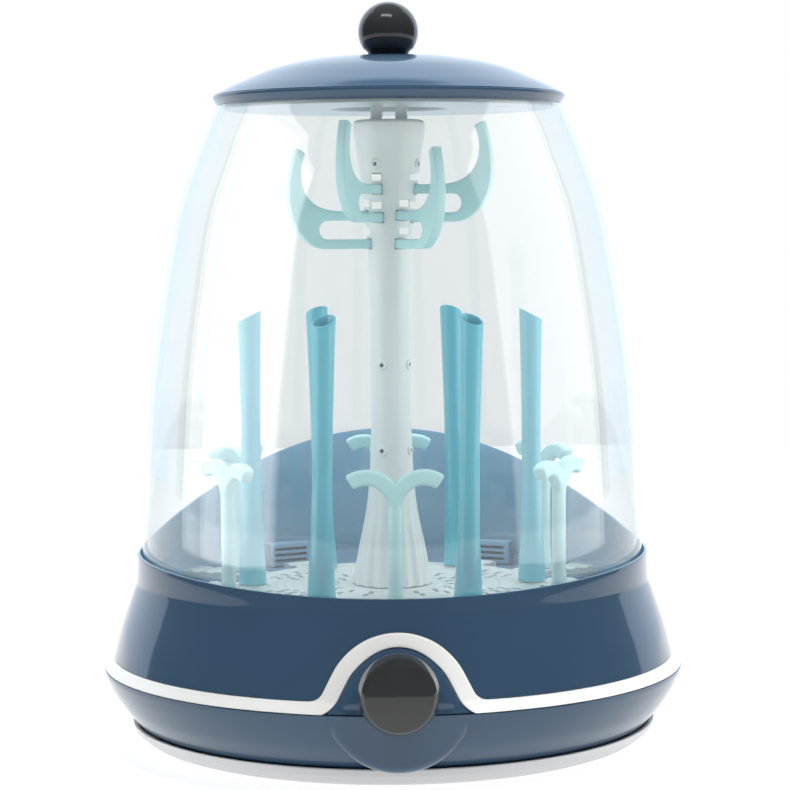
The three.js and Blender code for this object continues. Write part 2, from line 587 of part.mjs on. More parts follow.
function makeLoop() {
  const { footX, topX, width, topZ, thick } = LOOP;
  const footZ = TRUNK.topZ - TRUNK.cap - 0.4;
  const half = width / 2;
  const bendZ = topZ - topX - half;
  const shape = new THREE.Shape();
  shape.moveTo(-footX - half, footZ);
  shape.lineTo(-topX - half, bendZ);
  shape.absarc(0, bendZ, topX + half, Math.PI, 0, true);
  shape.lineTo(footX + half, footZ);
  shape.lineTo(footX - half, footZ);
  shape.lineTo(topX - half, bendZ);
  shape.absarc(0, bendZ, topX - half, 0, Math.PI, false);
  shape.lineTo(half - footX, footZ);
  piece('lifting_loop', slab(shape, -thick / 2, thick / 2, 8), 'white');
}

// Two tongues, an open window between them, and a crescent blade that rises to a blunt tip.
function hookOutline() {
  const { arm, pitch, tongueR } = HOOK;
  const low = -arm / 2;
  const high = pitch + arm / 2;
  const windowR = (pitch - arm) / 2;
  const shape = new THREE.Shape();
  shape.moveTo(tongueR, low);
  shape.lineTo(36, low);
  shape.bezierCurveTo(47, low, 56.2, 10, 56.2, 24);
  shape.bezierCurveTo(56.2, 33, 54.6, 41, 51.8, 48.6);
  shape.quadraticCurveTo(49.4, 48.1, 47.1, 46.1);
  shape.bezierCurveTo(51.5, 36, 51.5, high, 28, high);
  shape.lineTo(tongueR, high);
  shape.lineTo(tongueR, high - arm);
  shape.lineTo(35, high - arm);
  shape.absarc(35, pitch / 2, windowR, Math.PI / 2, -Math.PI / 2, true);
  shape.lineTo(tongueR, low + arm);
  shape.closePath();
  return shape;
}

function makeHooks() {
  const blade = slab(hookOutline(), -HOOK.thick / 2, HOOK.thick / 2, 5);
  for (const { name, azimuth, z } of HOOKS) piece(name, blade, 'mint', at(0, 0, z, radians(azimuth - 90)));
}

// ---------------------------------------------------------------- dome and lid
const domeCurve = () => spline([[129.9, DOME.bottomZ], [129.4, 113], [127, 152], [123.4, 192], [117, 234],
  [108.4, 277], [97, 309.5], [DOME.topR, DOME.topZ]]);

function makeDome() {
  const outer = samples(domeCurve(), 8);
  const inner = outer.map(([r, z]) => [r - DOME.wall, z]).reverse();
  piece('clear_dome', turned([...outer, ...inner]), 'clear');
}

function makeLid() {
  const { rimR, bottomZ, seatR, crownZ, wall, boreR } = LID;
  const curve = spline([[rimR - 0.6, 333.6], [78.8, 339.2], [58.5, 347.3], [36, 352], [14, crownZ]]);
  const crown = samples(curve, 5);
  const under = [[75, 337.2], [52, 346]];
  const shell = turned([[seatR, bottomZ], [rimR - 2.4, bottomZ], [rimR, 331.8], ...crown,
    [boreR, crownZ], [boreR, crownZ - wall], [14, crownZ - wall], ...under.reverse(), [seatR, 333]]);
  piece('lid_shell', shell, 'navy');

  // Flat pale underside that centres the lid in the dome, with a cone in its middle for the lifting loop.
  const { edgeR, mouthR, cupR, cupZ, sheet, lowZ } = LINER;
  const liner = turned([[0, cupZ - sheet], [cupR, cupZ - sheet], [mouthR, lowZ], [edgeR, lowZ],
    [edgeR, lowZ + sheet], [mouthR + sheet, lowZ + sheet], [cupR + sheet, cupZ], [0, cupZ]]);
  piece('lid_liner', liner, 'white');
}

function makeLidKnob() {
  const { radius, z, neckR, neckZ } = BALL;
  const start = Math.asin((neckZ - z) / radius);
  const ball = [];
  for (let step = 0; step <= 9; step += 1) {
    const rise = start + ((Math.PI / 2 - start) * step) / 9;
    ball.push([radius * Math.cos(rise), z + radius * Math.sin(rise)]);
  }
  ball[9] = [0, z + radius];
  const seatZ = LID.crownZ + GAP;
  const knob = turned([[0, seatZ], [neckR, seatZ], [neckR + 0.6, neckZ - 1.2], ...ball], 24);
  piece('lid_knob', knob.subtract(rod(1.8, 340, 366, 12)), 'black');
  piece('lid_screw', rod(4, 347.6, 350.8, 12).add(rod(1.5, 350, 365, 12)), 'steel');
}

makeFootDish();
makeFeetAndScrews();
makeLowerHousing();
makeFilterDoor();
makeCordGland();
makeHousingTop();
makeAirOutlets();
makeHeater();
makeFan();
makeElectronics();
makeSelector();
makeRack();
makePosts();
makeTeatPosts();
makeTrunk();
makeLoop();
makeHooks();
makeDome();
makeLid();
makeLidKnob();

export default root;
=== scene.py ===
import math

import bmesh
import bpy
import numpy as np
from mathutils import Matrix, Vector


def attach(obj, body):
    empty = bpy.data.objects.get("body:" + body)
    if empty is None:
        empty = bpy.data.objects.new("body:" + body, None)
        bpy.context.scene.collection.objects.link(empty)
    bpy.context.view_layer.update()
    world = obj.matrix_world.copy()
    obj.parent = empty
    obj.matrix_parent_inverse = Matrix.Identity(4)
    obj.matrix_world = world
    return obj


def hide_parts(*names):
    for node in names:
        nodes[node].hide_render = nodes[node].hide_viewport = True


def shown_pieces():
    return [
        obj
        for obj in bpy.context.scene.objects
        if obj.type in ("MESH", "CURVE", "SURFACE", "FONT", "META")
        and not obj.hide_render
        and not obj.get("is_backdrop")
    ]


# Domed bottle steriliser. Shapes are worked out in millimetres and stored in metres.
# Azimuth 0 is the front (-Y) and grows towards +X.

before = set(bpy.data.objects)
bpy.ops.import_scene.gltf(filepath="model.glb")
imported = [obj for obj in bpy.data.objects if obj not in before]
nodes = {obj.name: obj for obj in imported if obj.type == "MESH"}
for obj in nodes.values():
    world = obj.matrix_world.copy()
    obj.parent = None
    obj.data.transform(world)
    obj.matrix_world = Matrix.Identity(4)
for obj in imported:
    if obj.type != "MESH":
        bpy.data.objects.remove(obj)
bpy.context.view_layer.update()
scene = bpy.context.scene
MM = 0.001

# ------------------------------------------------------------------ dimensions, in millimetres
SEAM_Z, SEAM_R, TRIM_TOP = 40.0, 150.0, 45.4
GAP = 0.3
CORNERS = (45, 135, 225, 315)
FOOT_CIRCLE, SCREW_CIRCLE = 104.0, 88.0
DOOR = dict(half=29.0, low=15.5, high=32.0, front=120.0, back=160.0)
GLAND = dict(azimuth=25.0, z=21.0)
SKIRT = [(145.4, 45.4), (141.6, 60), (136.6, 74.5), (133.2, 84)]
ARCH = dict(crown_z=41.8, crown_r=31.75, flank=62.5, fillet_r=10.7, fillet_z=52.9, half=3.25, swell=1.3)
RIM_FRONT, RIM_SIDE, RIM_BACK = 92.0, 99.0, 150.0
KNOB = dict(tilt=5.0, z=51.2, y=-154.0)
SHAFT_BORE = 4.6
POD = dict(radius=37.5, edge=6.0, z=49.5)
OUTLET_AZIMUTH = 28.0
RACK_TOP, RACK_LOW = 80.0, 76.6
RACK = dict(core=78.0, arm=126.0, arm_half=9.0, petal=98.0, petal_half=12.0)
POST_R, TEAT_R = 73.0, 96.0
POST_FOOT, POST_LEAN = 80.3, 1.2
# The cut across a bottle post's top: its angle, the height where it starts to show, and its pivot.
SLANT = dict(angle=27.0, start=160.0, length=63.0, pivot=6.0)
# Name, azimuth, height, and where the windows above the slots run through the trunk.
TREE_HOOKS = [("upper_left", -27.0, 270.5, -6.6), ("upper_right", 69.0, 270.5, 13.0),
              ("lower_right", 26.5, 257.0, 7.5), ("lower_left", -68.0, 257.0, -13.0)]
HOOK = dict(pitch=14.5, thick=5.5, tongue=3.05, hole=2.8, window=2.65)
EYE_AZIMUTH = -27.0
EYE_HEIGHTS = (150, 194.5, 298)
LOOP = dict(z=334.0, outer=9.0, inner=2.8, foot=316.3, half=9.9, slit=3.7)
BALL = dict(z=365.7, radius=15.5, low=357.0, top=381.2)


# ------------------------------------------------------------------ outlines
def catmull(points, count):
    """count + 1 points along a smooth curve through the given points."""
    p = np.array(points, float)
    out = []
    for k in range(count + 1):
        t = k * (len(p) - 1) / count
        i = min(int(t), len(p) - 2)
        w = t - i
        a, b, c, d = p[max(i - 1, 0)], p[i], p[i + 1], p[min(i + 2, len(p) - 1)]
        v0, v1 = (c - a) / 2, (d - b) / 2
        out.append((2 * b - 2 * c + v0 + v1) * w ** 3 + (3 * c - 3 * b - 2 * v0 - v1) * w ** 2 + v0 * w + b)
    return [tuple(q) for q in out]


def soften(corners, steps=5):
    """A closed outline; a corner given as (r, z, radius) is rounded."""
    out, count = [], len(corners)
    for i, corner in enumerate(corners):
        c = np.array(corner[:2], float)
        if len(corner) < 3:
            out.append(tuple(c))
            continue
        before = np.array(corners[i - 1][:2], float) - c
        after = np.array(corners[(i + 1) % count][:2], float) - c
        la, lb = np.linalg.norm(before), np.linalg.norm(after)
        cosine = float(np.clip(before @ after / (la * lb), -0.999, 0.999))
        reach = min(corner[2] / math.tan(math.acos(cosine) / 2), 0.48 * la, 0.48 * lb)
        a, b = c + before / la * reach, c + after / lb * reach
        for k in range(steps + 1):
            t = k / steps
            out.append(tuple(a * (1 - t) ** 2 + 2 * c * t * (1 - t) + b * t ** 2))
    return out


def polar(radius, azimuth):
    a = math.radians(azimuth)
    return radius * math.sin(a), -radius * math.cos(a)


# ------------------------------------------------------------------ meshes
def lathe(outline, sides=240, reshape=None):
    """Turns a closed outline of (radius, height) about Z. reshape(vertices) may move the points."""
    verts, rings = [], []
    for r, z in outline:
        if r < 1e-6:
            rings.append([len(verts)])
            verts.append((0.0, 0.0, z))
            continue
        rings.append(list(range(len(verts), len(verts) + sides)))
        for k in range(sides):
            verts.append((*polar(r, 360 * k / sides), z))
    faces = []
    pairs = list(zip(rings, rings[1:]))
    if len(rings[0]) > 1 or len(rings[-1]) > 1:
        pairs.append((rings[-1], rings[0]))
    for low, high in pairs:
        if len(low) == len(high) == 1:
            continue
        for k in range(sides):
            n = (k + 1) % sides
            if len(low) == 1:
                faces.append((low[0], high[n], high[k]))
            elif len(high) == 1:
                faces.append((low[k], low[n], high[0]))
            else:
                faces.append((low[k], low[n], high[n], high[k]))
    verts = np.array(verts, float)
    if reshape:
        verts = reshape(verts)
    return verts, faces


def loft(sections, ring=False):
    """Skins closed loops of equal length. ring joins the last loop to the first; otherwise both get caps."""
    n, m = len(sections), len(sections[0])
    verts = np.array([p for s in sections for p in s], float)
    faces = []
    for i in range(n if ring else n - 1):
        j = (i + 1) % n
        for k in range(m):
            q = (k + 1) % m
            faces.append((i * m + k, i * m + q, j * m + q, j * m + k))
    if not ring:
        faces.append(tuple(reversed(range(m))))
        faces.append(tuple(range((n - 1) * m, n * m)))
    return verts, faces


def plain(name, data):
    """A mesh object from (vertices in mm, faces), with its faces turned outward."""
    verts, faces = data
    mesh = bpy.data.meshes.new(name)
    mesh.from_pydata((np.array(verts) * MM).tolist(), [], [list(f) for f in faces])
    bm = bmesh.new()
    bm.from_mesh(mesh)
    bmesh.ops.remove_doubles(bm, verts=bm.verts, dist=2e-6)
    bmesh.ops.recalc_face_normals(bm, faces=bm.faces)
    bm.to_mesh(mesh)
    bm.free()
    obj = bpy.data.objects.new(name, mesh)
    scene.collection.objects.link(obj)
    return obj


def settle(obj):
    """Applies the object's modifiers to its mesh."""
    bpy.context.view_layer.update()
    dg = bpy.context.evaluated_depsgraph_get()
    mesh = bpy.data.meshes.new_from_object(obj.evaluated_get(dg), depsgraph=dg)
    old = obj.data
    obj.modifiers.clear()
    obj.data = mesh
    bpy.data.meshes.remove(old)
    return obj


def combine(obj, others, operation="DIFFERENCE"):
    """Cuts the others out of the object, joins them to it or keeps what they share, and removes them."""
    for other in others:
        mod = obj.modifiers.new("part", "BOOLEAN")
        mod.operation = operation
        mod.object = other
        mod.solver = "MANIFOLD"
        settle(obj)
        bpy.data.meshes.remove(other.data)
    return obj


def moved(obj, matrix):
    obj.data.transform(matrix)
    return obj


def shift(x, y, z):
    return Matrix.Translation((x * MM, y * MM, z * MM))


def spin(degrees, axis="Z"):
    return Matrix.Rotation(math.radians(degrees), 4, axis)


def box(x0, x1, y0, y1, z0, z1):
    corners = [(x, y, z) for z in (z0, z1) for x, y in ((x0, y0), (x1, y0), (x1, y1), (x0, y1))]
    faces = [(0, 3, 2, 1), (4, 5, 6, 7), (0, 1, 5, 4), (1, 2, 6, 5), (2, 3, 7, 6), (3, 0, 4, 7)]
    return plain("tool", (corners, faces))


def rod(radius, low, high, sides=48):
    return plain("tool", lathe([(0, low), (radius, low), (radius, high), (0, high)], sides))


def slab(name, loops, thick, bevel, resolution=3):
    """A flat piece in the XZ plane with rounded edges, from closed loops of (x, z); inner loops are holes."""
    curve = bpy.data.curves.new(name, "CURVE")
    curve.dimensions = "2D"
    curve.fill_mode = "BOTH"
    curve.extrude = (thick / 2 - bevel) * MM
    curve.bevel_depth = bevel * MM
    curve.bevel_resolution = resolution
    curve.offset = -bevel * MM
    for loop in loops:
        line = curve.splines.new("POLY")
        line.points.add(len(loop) - 1)
        for point, (x, z) in zip(line.points, loop):
            point.co = (x * MM, z * MM, 0, 1)
        line.use_cyclic_u = True
    temp = bpy.data.objects.new(name, curve)
    scene.collection.objects.link(temp)
    bpy.context.view_layer.update()
    dg = bpy.context.evaluated_depsgraph_get()
    mesh = bpy.data.meshes.new_from_object(temp.evaluated_get(dg), depsgraph=dg)
    bpy.data.objects.remove(temp)
    bpy.data.curves.remove(curve)
    bm = bmesh.new()
    bm.from_mesh(mesh)
    bmesh.ops.remove_doubles(bm, verts=bm.verts, dist=5e-6)
    bmesh.ops.dissolve_degenerate(bm, edges=bm.edges, dist=1e-6)
    bmesh.ops.recalc_face_normals(bm, faces=bm.faces)
    bm.to_mesh(mesh)
    bm.free()
    mesh.transform(spin(90, "X"))
    obj = bpy.data.objects.new(name, mesh)
    scene.collection.objects.link(obj)
    return obj


def arc(cx, cz, radius, start, end, count=16):
    turns = [math.radians(start + (end - start) * k / count) for k in range(count + 1)]
    return [(cx + radius * math.cos(a), cz + radius * math.sin(a)) for a in turns]


def bezier(a, b, c, d, count=14):
    a, b, c, d = (np.array(q, float) for q in (a, b, c, d))
    out = []
    for k in range(count + 1):
        t = k / count
        u = 1 - t
        out.append(tuple(a * u ** 3 + 3 * b * t * u ** 2 + 3 * c * t * t * u + d * t ** 3))
    return out


def finish_piece(obj, name, material, body, stands_for=(), angle=35):
    """Names the piece, gives it its material and puts it on its body; edges sharper than angle stay crisp."""
    obj.name = obj.data.name = name
    obj.data.materials.clear()
    obj.data.materials.append(material)
    obj.data.polygons.foreach_set("use_smooth", [True] * len(obj.data.polygons))
    obj.data.set_sharp_from_angle(angle=math.radians(angle))
    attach(obj, body)
    if stands_for:
        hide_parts(*stands_for)
    return obj


# ------------------------------------------------------------------ materials
def srgb(r, g, b):
    """A colour of 0 to 255 a channel as linear values."""
    shares = (r / 255, g / 255, b / 255)
    return tuple(c / 12.92 if c <= 0.04045 else ((c + 0.055) / 1.055) ** 2.4 for c in shares)


def node(tree, kind, **values):
    n = tree.nodes.new(kind)
    for key, value in values.items():
        if key in n.inputs:
            n.inputs[key].default_value = value
        else:
            setattr(n, key, value)
    return n


def moulded(name, colour, roughness=0.3, coat=0.0, coat_roughness=0.04, grain=900.0, bump=0.02, mottle=0.03,
            metallic=0.0, rough_spread=0.06, subsurface=0.0, specular=0.5):
    """Moulded plastic or metal: faint tonal mottling, uneven gloss and a fine surface texture."""
    mat = bpy.data.materials.new(name)
    mat.use_nodes = True
    tree = mat.node_tree
    bsdf = tree.nodes["Principled BSDF"]
    link = tree.links.new
    place = node(tree, "ShaderNodeTexCoord")
    tone = node(tree, "ShaderNodeTexNoise", Scale=22.0, Detail=4.0, Roughness=0.55)
    fine = node(tree, "ShaderNodeTexNoise", Scale=grain, Detail=2.0)
    link(place.outputs["Object"], tone.inputs["Vector"])
    link(place.outputs["Object"], fine.inputs["Vector"])
    base = (*srgb(*colour), 1)
    ramp = node(tree, "ShaderNodeValToRGB")
    low, high = ramp.color_ramp.elements
    low.position, high.position = 0.3, 0.7
    low.color = tuple(c * (1 - mottle) for c in base[:3]) + (1,)
    high.color = tuple(min(c * (1 + mottle), 1) for c in base[:3]) + (1,)
    link(tone.outputs["Fac"], ramp.inputs["Fac"])
    link(ramp.outputs["Color"], bsdf.inputs["Base Color"])
    spread = node(tree, "ShaderNodeMapRange")
    spread.inputs["To Min"].default_value = max(roughness - rough_spread, 0.02)
    spread.inputs["To Max"].default_value = roughness + rough_spread
    link(tone.outputs["Fac"], spread.inputs["Value"])
    link(spread.outputs["Result"], bsdf.inputs["Roughness"])
    relief = node(tree, "ShaderNodeBump", Strength=bump, Distance=0.0004)
    link(fine.outputs["Fac"], relief.inputs["Height"])
    link(relief.outputs["Normal"], bsdf.inputs["Normal"])
    bsdf.inputs["Metallic"].default_value = metallic
    bsdf.inputs["Specular IOR Level"].default_value = specular
    bsdf.inputs["Coat Weight"].default_value = coat
    bsdf.inputs["Coat Roughness"].default_value = coat_roughness
    if subsurface:
        bsdf.inputs["Subsurface Weight"].default_value = subsurface
        bsdf.inputs["Subsurface Scale"].default_value = 0.004
        bsdf.inputs["Subsurface Radius"].default_value = (1, 1, 1)
    return mat


PLASTIC_IOR = 1.45


def clear_plastic():
    """Thin clear moulding: lets light straight through, mirrors by Fresnel, with a faint cool haze."""
    mat = bpy.data.materials.new("clear_plastic")
    mat.use_nodes = True
    tree = mat.node_tree
    tree.nodes.remove(tree.nodes["Principled BSDF"])
    out = tree.nodes["Material Output"]
    link = tree.links.new
    place = node(tree, "ShaderNodeTexCoord")
    wave = node(tree, "ShaderNodeTexNoise", Scale=9.0, Detail=2.0)
    link(place.outputs["Object"], wave.inputs["Vector"])
    relief = node(tree, "ShaderNodeBump", Strength=0.05, Distance=0.0006)
    link(wave.outputs["Fac"], relief.inputs["Height"])
    through = node(tree, "ShaderNodeBsdfTransparent")
    slope = node(tree, "ShaderNodeLayerWeight", Blend=0.5)
    edge = node(tree, "ShaderNodeMath", operation="POWER")
    edge.inputs[1].default_value = 5.0
    link(slope.outputs["Facing"], edge.inputs[0])
    depth = node(tree, "ShaderNodeMix", data_type="RGBA")
    depth.inputs["A"].default_value = (0.95, 0.955, 0.953, 1)
    depth.inputs["B"].default_value = (0.80, 0.84, 0.85, 1)
    link(edge.outputs[0], depth.inputs["Factor"])
    link(depth.outputs["Result"], through.inputs["Color"])
    tint = (*srgb(232, 246, 250), 1)
    haze = node(tree, "ShaderNodeBsdfTranslucent")
    haze.inputs["Color"].default_value = tint
    veil = node(tree, "ShaderNodeBsdfDiffuse")
    veil.inputs["Color"].default_value = tint
    fog = node(tree, "ShaderNodeMixShader")
    fog.inputs["Fac"].default_value = 0.5
    link(haze.outputs["BSDF"], fog.inputs[1])
    link(veil.outputs["BSDF"], fog.inputs[2])
    cloud = node(tree, "ShaderNodeMixShader")
    amount = node(tree, "ShaderNodeMapRange")
    amount.inputs["To Min"].default_value = 0.03
    amount.inputs["To Max"].default_value = 0.05
    link(wave.outputs["Fac"], amount.inputs["Value"])
    link(amount.outputs["Result"], cloud.inputs["Fac"])
    link(through.outputs["BSDF"], cloud.inputs[1])
    link(fog.outputs["Shader"], cloud.inputs[2])
    gloss = node(tree, "ShaderNodeBsdfGlossy")
    gloss.inputs["Roughness"].default_value = 0.04
    gloss.inputs["Color"].default_value = (1, 1, 1, 1)
    link(relief.outputs["Normal"], gloss.inputs["Normal"])
    fresnel = node(tree, "ShaderNodeFresnel")
    link(relief.outputs["Normal"], fresnel.inputs["Normal"])
    facing = node(tree, "ShaderNodeNewGeometry")
    index = node(tree, "ShaderNodeMapRange")
    index.inputs["To Min"].default_value = PLASTIC_IOR
    index.inputs["To Max"].default_value = 1 / PLASTIC_IOR
    link(facing.outputs["Backfacing"], index.inputs["Value"])
    link(index.outputs["Result"], fresnel.inputs["IOR"])
    mix = node(tree, "ShaderNodeMixShader")
    link(fresnel.outputs["Fac"], mix.inputs["Fac"])
    link(cloud.outputs["Shader"], mix.inputs[1])
    link(gloss.outputs["BSDF"], mix.inputs[2])
    link(mix.outputs["Shader"], out.inputs["Surface"])
    return mat


NAVY = moulded("navy_gloss", (58, 84, 109), roughness=0.32, coat=0.88, coat_roughness=0.03, bump=0.01,
               mottle=0.025, specular=0.1)
WHITE = moulded("white_satin", (234, 238, 236), roughness=0.38, coat=0.25, coat_roughness=0.15, mottle=0.012)
TRIM = moulded("trim_white", (241, 240, 237), roughness=0.33, coat=0.3, coat_roughness=0.1, mottle=0.01)
RACK_WHITE = moulded("white_rack", (194, 204, 203), roughness=0.4, coat=0.2, coat_roughness=0.15,
                     mottle=0.012)
# The dish's white is painted darker than the other whites: painted shade for the shadow the housing above
# casts on it.
DISH_PAINTED_SHADE = moulded("white_dish_painted_shade", (205, 205, 206), roughness=0.45, coat=0.15, coat_roughness=0.2, mottle=0.012)
LINER = moulded("white_liner", (164, 171, 175), roughness=0.3, coat=0.3, coat_roughness=0.1, mottle=0.01)
TEAL = moulded("teal_moulded", (90, 186, 204), roughness=0.34, coat=0.7, coat_roughness=0.07, mottle=0.03,
               subsurface=0.1)
MINT = moulded("mint_moulded", (190, 231, 231), roughness=0.38, coat=0.25, coat_roughness=0.15, mottle=0.02,
               subsurface=0.15)
BLACK = moulded("black_gloss", (50, 50, 50), roughness=0.25, coat=0.9, coat_roughness=0.02, bump=0.01,
                mottle=0.05, specular=0.1)
MATT = moulded("black_matt", (38, 39, 41), roughness=0.55, bump=0.12, mottle=0.08)
RUBBER = moulded("grey_rubber", (120, 124, 126), roughness=0.85, bump=0.25, grain=1500, mottle=0.08)
SILICONE = moulded("silicone", (214, 216, 214), roughness=0.6, bump=0.1, mottle=0.04)
STEEL = moulded("brushed_steel", (196, 198, 200), roughness=0.28, metallic=1.0, bump=0.08, grain=2500,
                mottle=0.04)
ZINC = moulded("zinc_screw", (176, 178, 182), roughness=0.35, metallic=1.0, bump=0.1, mottle=0.08)
BOARD = moulded("circuit_board", (38, 96, 66), roughness=0.45, coat=0.4, bump=0.1, mottle=0.2)
FOAM = moulded("filter_foam", (70, 73, 76), roughness=0.95, bump=0.9, grain=700, mottle=0.25)
CLEAR = clear_plastic()


# ------------------------------------------------------------------ foot dish, feet, screws
def make_dish():
    outline = soften([
        (0, 1.5), (123, 1.5, 1.2), (128.5, 3.4, 6), (134.6, 8.2, 4), (136, 11.2, 1.0), (135.6, 11.8, 0.5),
        (133.6, 11.6, 0.8), (131.2, 7.6, 3), (126, 4.6, 3), (0, 4.2)], 6)
    dish = plain("dish", lathe(outline))
    for corner in CORNERS:
        foot_place = shift(*polar(FOOT_CIRCLE, corner), 0)
        screw_place = shift(*polar(SCREW_CIRCLE, corner), 0)
        combine(dish, [moved(rod(9.3, -1, 3.2), foot_place)])
        combine(dish, [moved(rod(3.7, 0, 2.6), screw_place), moved(rod(2.1, 0, 9), screw_place)])
    finish_piece(dish, "foot_dish_shell", DISH_PAINTED_SHADE, "base", ["foot_dish"])


def make_feet():
    outline = soften([(0, 0.5), (3.4, 0.5, 0.4), (4.2, 0.05, 0.5), (8.0, 0.05, 0.7), (9, 0.9, 0.6), (9, 2.9),
                      (0, 2.9)])
    head = soften([(0, 1.2), (2.6, 1.2, 0.5), (3.4, 1.7, 0.5), (3.4, 2.3), (1.5, 2.3), (1.5, 19), (0, 19)])
    for index, corner in enumerate(CORNERS, 1):
        foot = moved(plain("foot", lathe(outline, 64)), shift(*polar(FOOT_CIRCLE, corner), 0))
        finish_piece(foot, f"rubber_pad_{index}", RUBBER, "base", [f"rubber_foot_{index}"])
        screw = plain("screw", lathe(head, 40))
        for turn in (20, 110):
            combine(screw, [moved(box(-2.2, 2.2, -0.4, 0.4, 0.8, 1.7), spin(turn))])
        moved(screw, shift(*polar(SCREW_CIRCLE, corner), 0))
        finish_piece(screw, f"base_screw_steel_{index}", ZINC, "base", [f"base_screw_{index}"])


# ------------------------------------------------------------------ lower housing
LOWER = [(131.4, 10.8), (134, 13), (137.6, 17.3), (143, 24), (147.4, 31.5), (150, 38)]


def lower_outline():
    """Section of the lower housing's wall and floor."""
    outer = [(0, 7), (118, 7)] + catmull(LOWER, 30) + [(150, 39.5), (149.6, 39.85), (147.6, 39.85)]
    inner = [(r - 2.6, z) for r, z in reversed(catmull(LOWER[2:], 16))]
    return outer + inner + [(129.4, 13.4), (117, 9.6), (0, 9.6)]


def make_pod(sides=144):
    """The round pod below the knob: its face lies on the seam cylinder and its edge is rounded."""
    radius, edge = POD["radius"], POD["edge"]
    rims = [(radius, -118.0)]
    for a in range(90, -1, -9):
        turn = math.radians(a)
        rims.append((radius - edge + edge * math.sin(turn), edge * (1 - math.cos(turn))))
    rims += [(radius * k / 10, 0) for k in range(8, 0, -1)]
    sections = []
    for rho, inset in rims:
        row = []
        for k in range(sides):
            a = 2 * math.pi * k / sides
            x, z = rho * math.cos(a), POD["z"] + rho * math.sin(a)
            y = inset if inset < -50 else -math.sqrt((SEAM_R - 0.05) ** 2 - x * x) + inset
            row.append((x, y, z))
        sections.append(row)
    return plain("pod", loft(sections))


def gland_axis():
    """Turns a piece lathed about Z so that it points out at the back, through the cord gland's place."""
    return shift(0, 0, GLAND["z"]) @ spin(180 - GLAND["azimuth"]) @ spin(90, "X")


def make_lower():
    shell = plain("lower", lathe(lower_outline(), 288))
    pod = make_pod()
    combine(pod, [box(-60, 60, -160, -100, SEAM_Z - 0.15, 120)])
    inside = [(0, 9.6), (128.8, 13.4)] + [(r - 3.2, z) for r, z in catmull(LOWER[2:], 16)]
    combine(pod, [plain("hollow", lathe(inside + [(147.2, 60), (0, 60)]))])
    combine(shell, [pod], "UNION")
    combine(shell, [box(-DOOR["half"], DOOR["half"], DOOR["front"], DOOR["back"], DOOR["low"], DOOR["high"])])
    boss = plain("boss", lathe(soften([(0, 131.5), (9.4, 131.5), (9, 147.8, 0.8), (0, 147.8)]), 64))
    combine(shell, [moved(boss, gland_axis())], "UNION")
    combine(shell, [moved(rod(5.9, 100, 170), gland_axis())])
    finish_piece(shell, "lower_shell", NAVY, "base", ["lower_housing"], 30)


def make_filter_door():
    door = plain("door", lathe(lower_outline(), 288))
    half = DOOR["half"] - GAP
    fitted = box(-half, half, DOOR["front"], DOOR["back"], DOOR["low"] + GAP, DOOR["high"] - GAP)
    combine(door, [fitted], "INTERSECT")
    for slot in range(9):
        x = -24 + 6 * slot
        combine(door, [box(x - 1.3, x + 1.3, DOOR["front"], DOOR["back"], 18.6, 29.0)])
    finish_piece(door, "filter_door_grille", NAVY, "filter_drawer", ["filter_door"])


def make_gland():
    outline = soften([(2.6, 134), (5.6, 134), (5.6, 148.1), (8, 148.1, 0.4), (8, 149.8, 0.6),
                      (4.8, 151.8, 0.6), (2.6, 151.8, 0.4)], 4)
    gland = plain("gland", lathe(outline, 64))
    for turn in range(0, 360, 30):
        combine(gland, [moved(box(6.9, 9, -0.5, 0.5, 147, 151), spin(turn))])
    moved(gland, gland_axis())
    finish_piece(gland, "cord_bushing", MATT, "base", ["cord_gland"])


# ------------------------------------------------------------------ trim band, knob panel and upper housing
SKIRT_LINE = catmull(SKIRT, 24)


def skirt_radius(z):
    if z <= TRIM_TOP:
        return SEAM_R + (145.4 - SEAM_R) * (z - SEAM_Z - 0.15) / (TRIM_TOP - SEAM_Z - 0.15)
    return float(np.interp(z, [p[1] for p in SKIRT_LINE], [p[0] for p in SKIRT_LINE]))


FLANK = math.radians(ARCH["flank"])
DROP = (ARCH["crown_z"] + ARCH["crown_r"] * math.cos(FLANK)
        - ARCH["fillet_z"] + ARCH["fillet_r"] * math.cos(FLANK))
FILLET_X = (ARCH["crown_r"] + ARCH["fillet_r"]) * math.sin(FLANK) + DROP / math.tan(FLANK)


def arch_edge(offset, floor_z, swell=0.0):
    """Half the arch's edge from crown to ring, as (x, z), kept above floor_z; swell widens its flank."""
    out = []
    for k in range(31):
        a = math.radians(90 - ARCH["flank"] * k / 30)
        r = ARCH["crown_r"] + offset - swell * math.sin(math.pi / 2 * min(k / 22, 1)) ** 2
        out.append((r * math.cos(a), ARCH["crown_z"] + r * math.sin(a)))
    start = out[-1]
    fillet = []
    for k in range(21):
        r = ARCH["fillet_r"] - offset + swell * (1 - k / 20) ** 2
        a = math.radians(-90 - ARCH["flank"] + ARCH["flank"] * k / 20)
        reach = min(r, (ARCH["fillet_z"] - floor_z) / max(-math.sin(a), 1e-6))
        fillet.append((FILLET_X + reach * math.cos(a), ARCH["fillet_z"] + reach * math.sin(a)))
    for k in range(1, 4):
        t = k / 4
        out.append((start[0] * (1 - t) + fillet[0][0] * t, start[1] * (1 - t) + fillet[0][1] * t))
    return out + fillet


def on_skirt(x, z, depth):
    r = skirt_radius(z)
    return (*polar(r + depth, math.degrees(math.asin(x / r))), z)


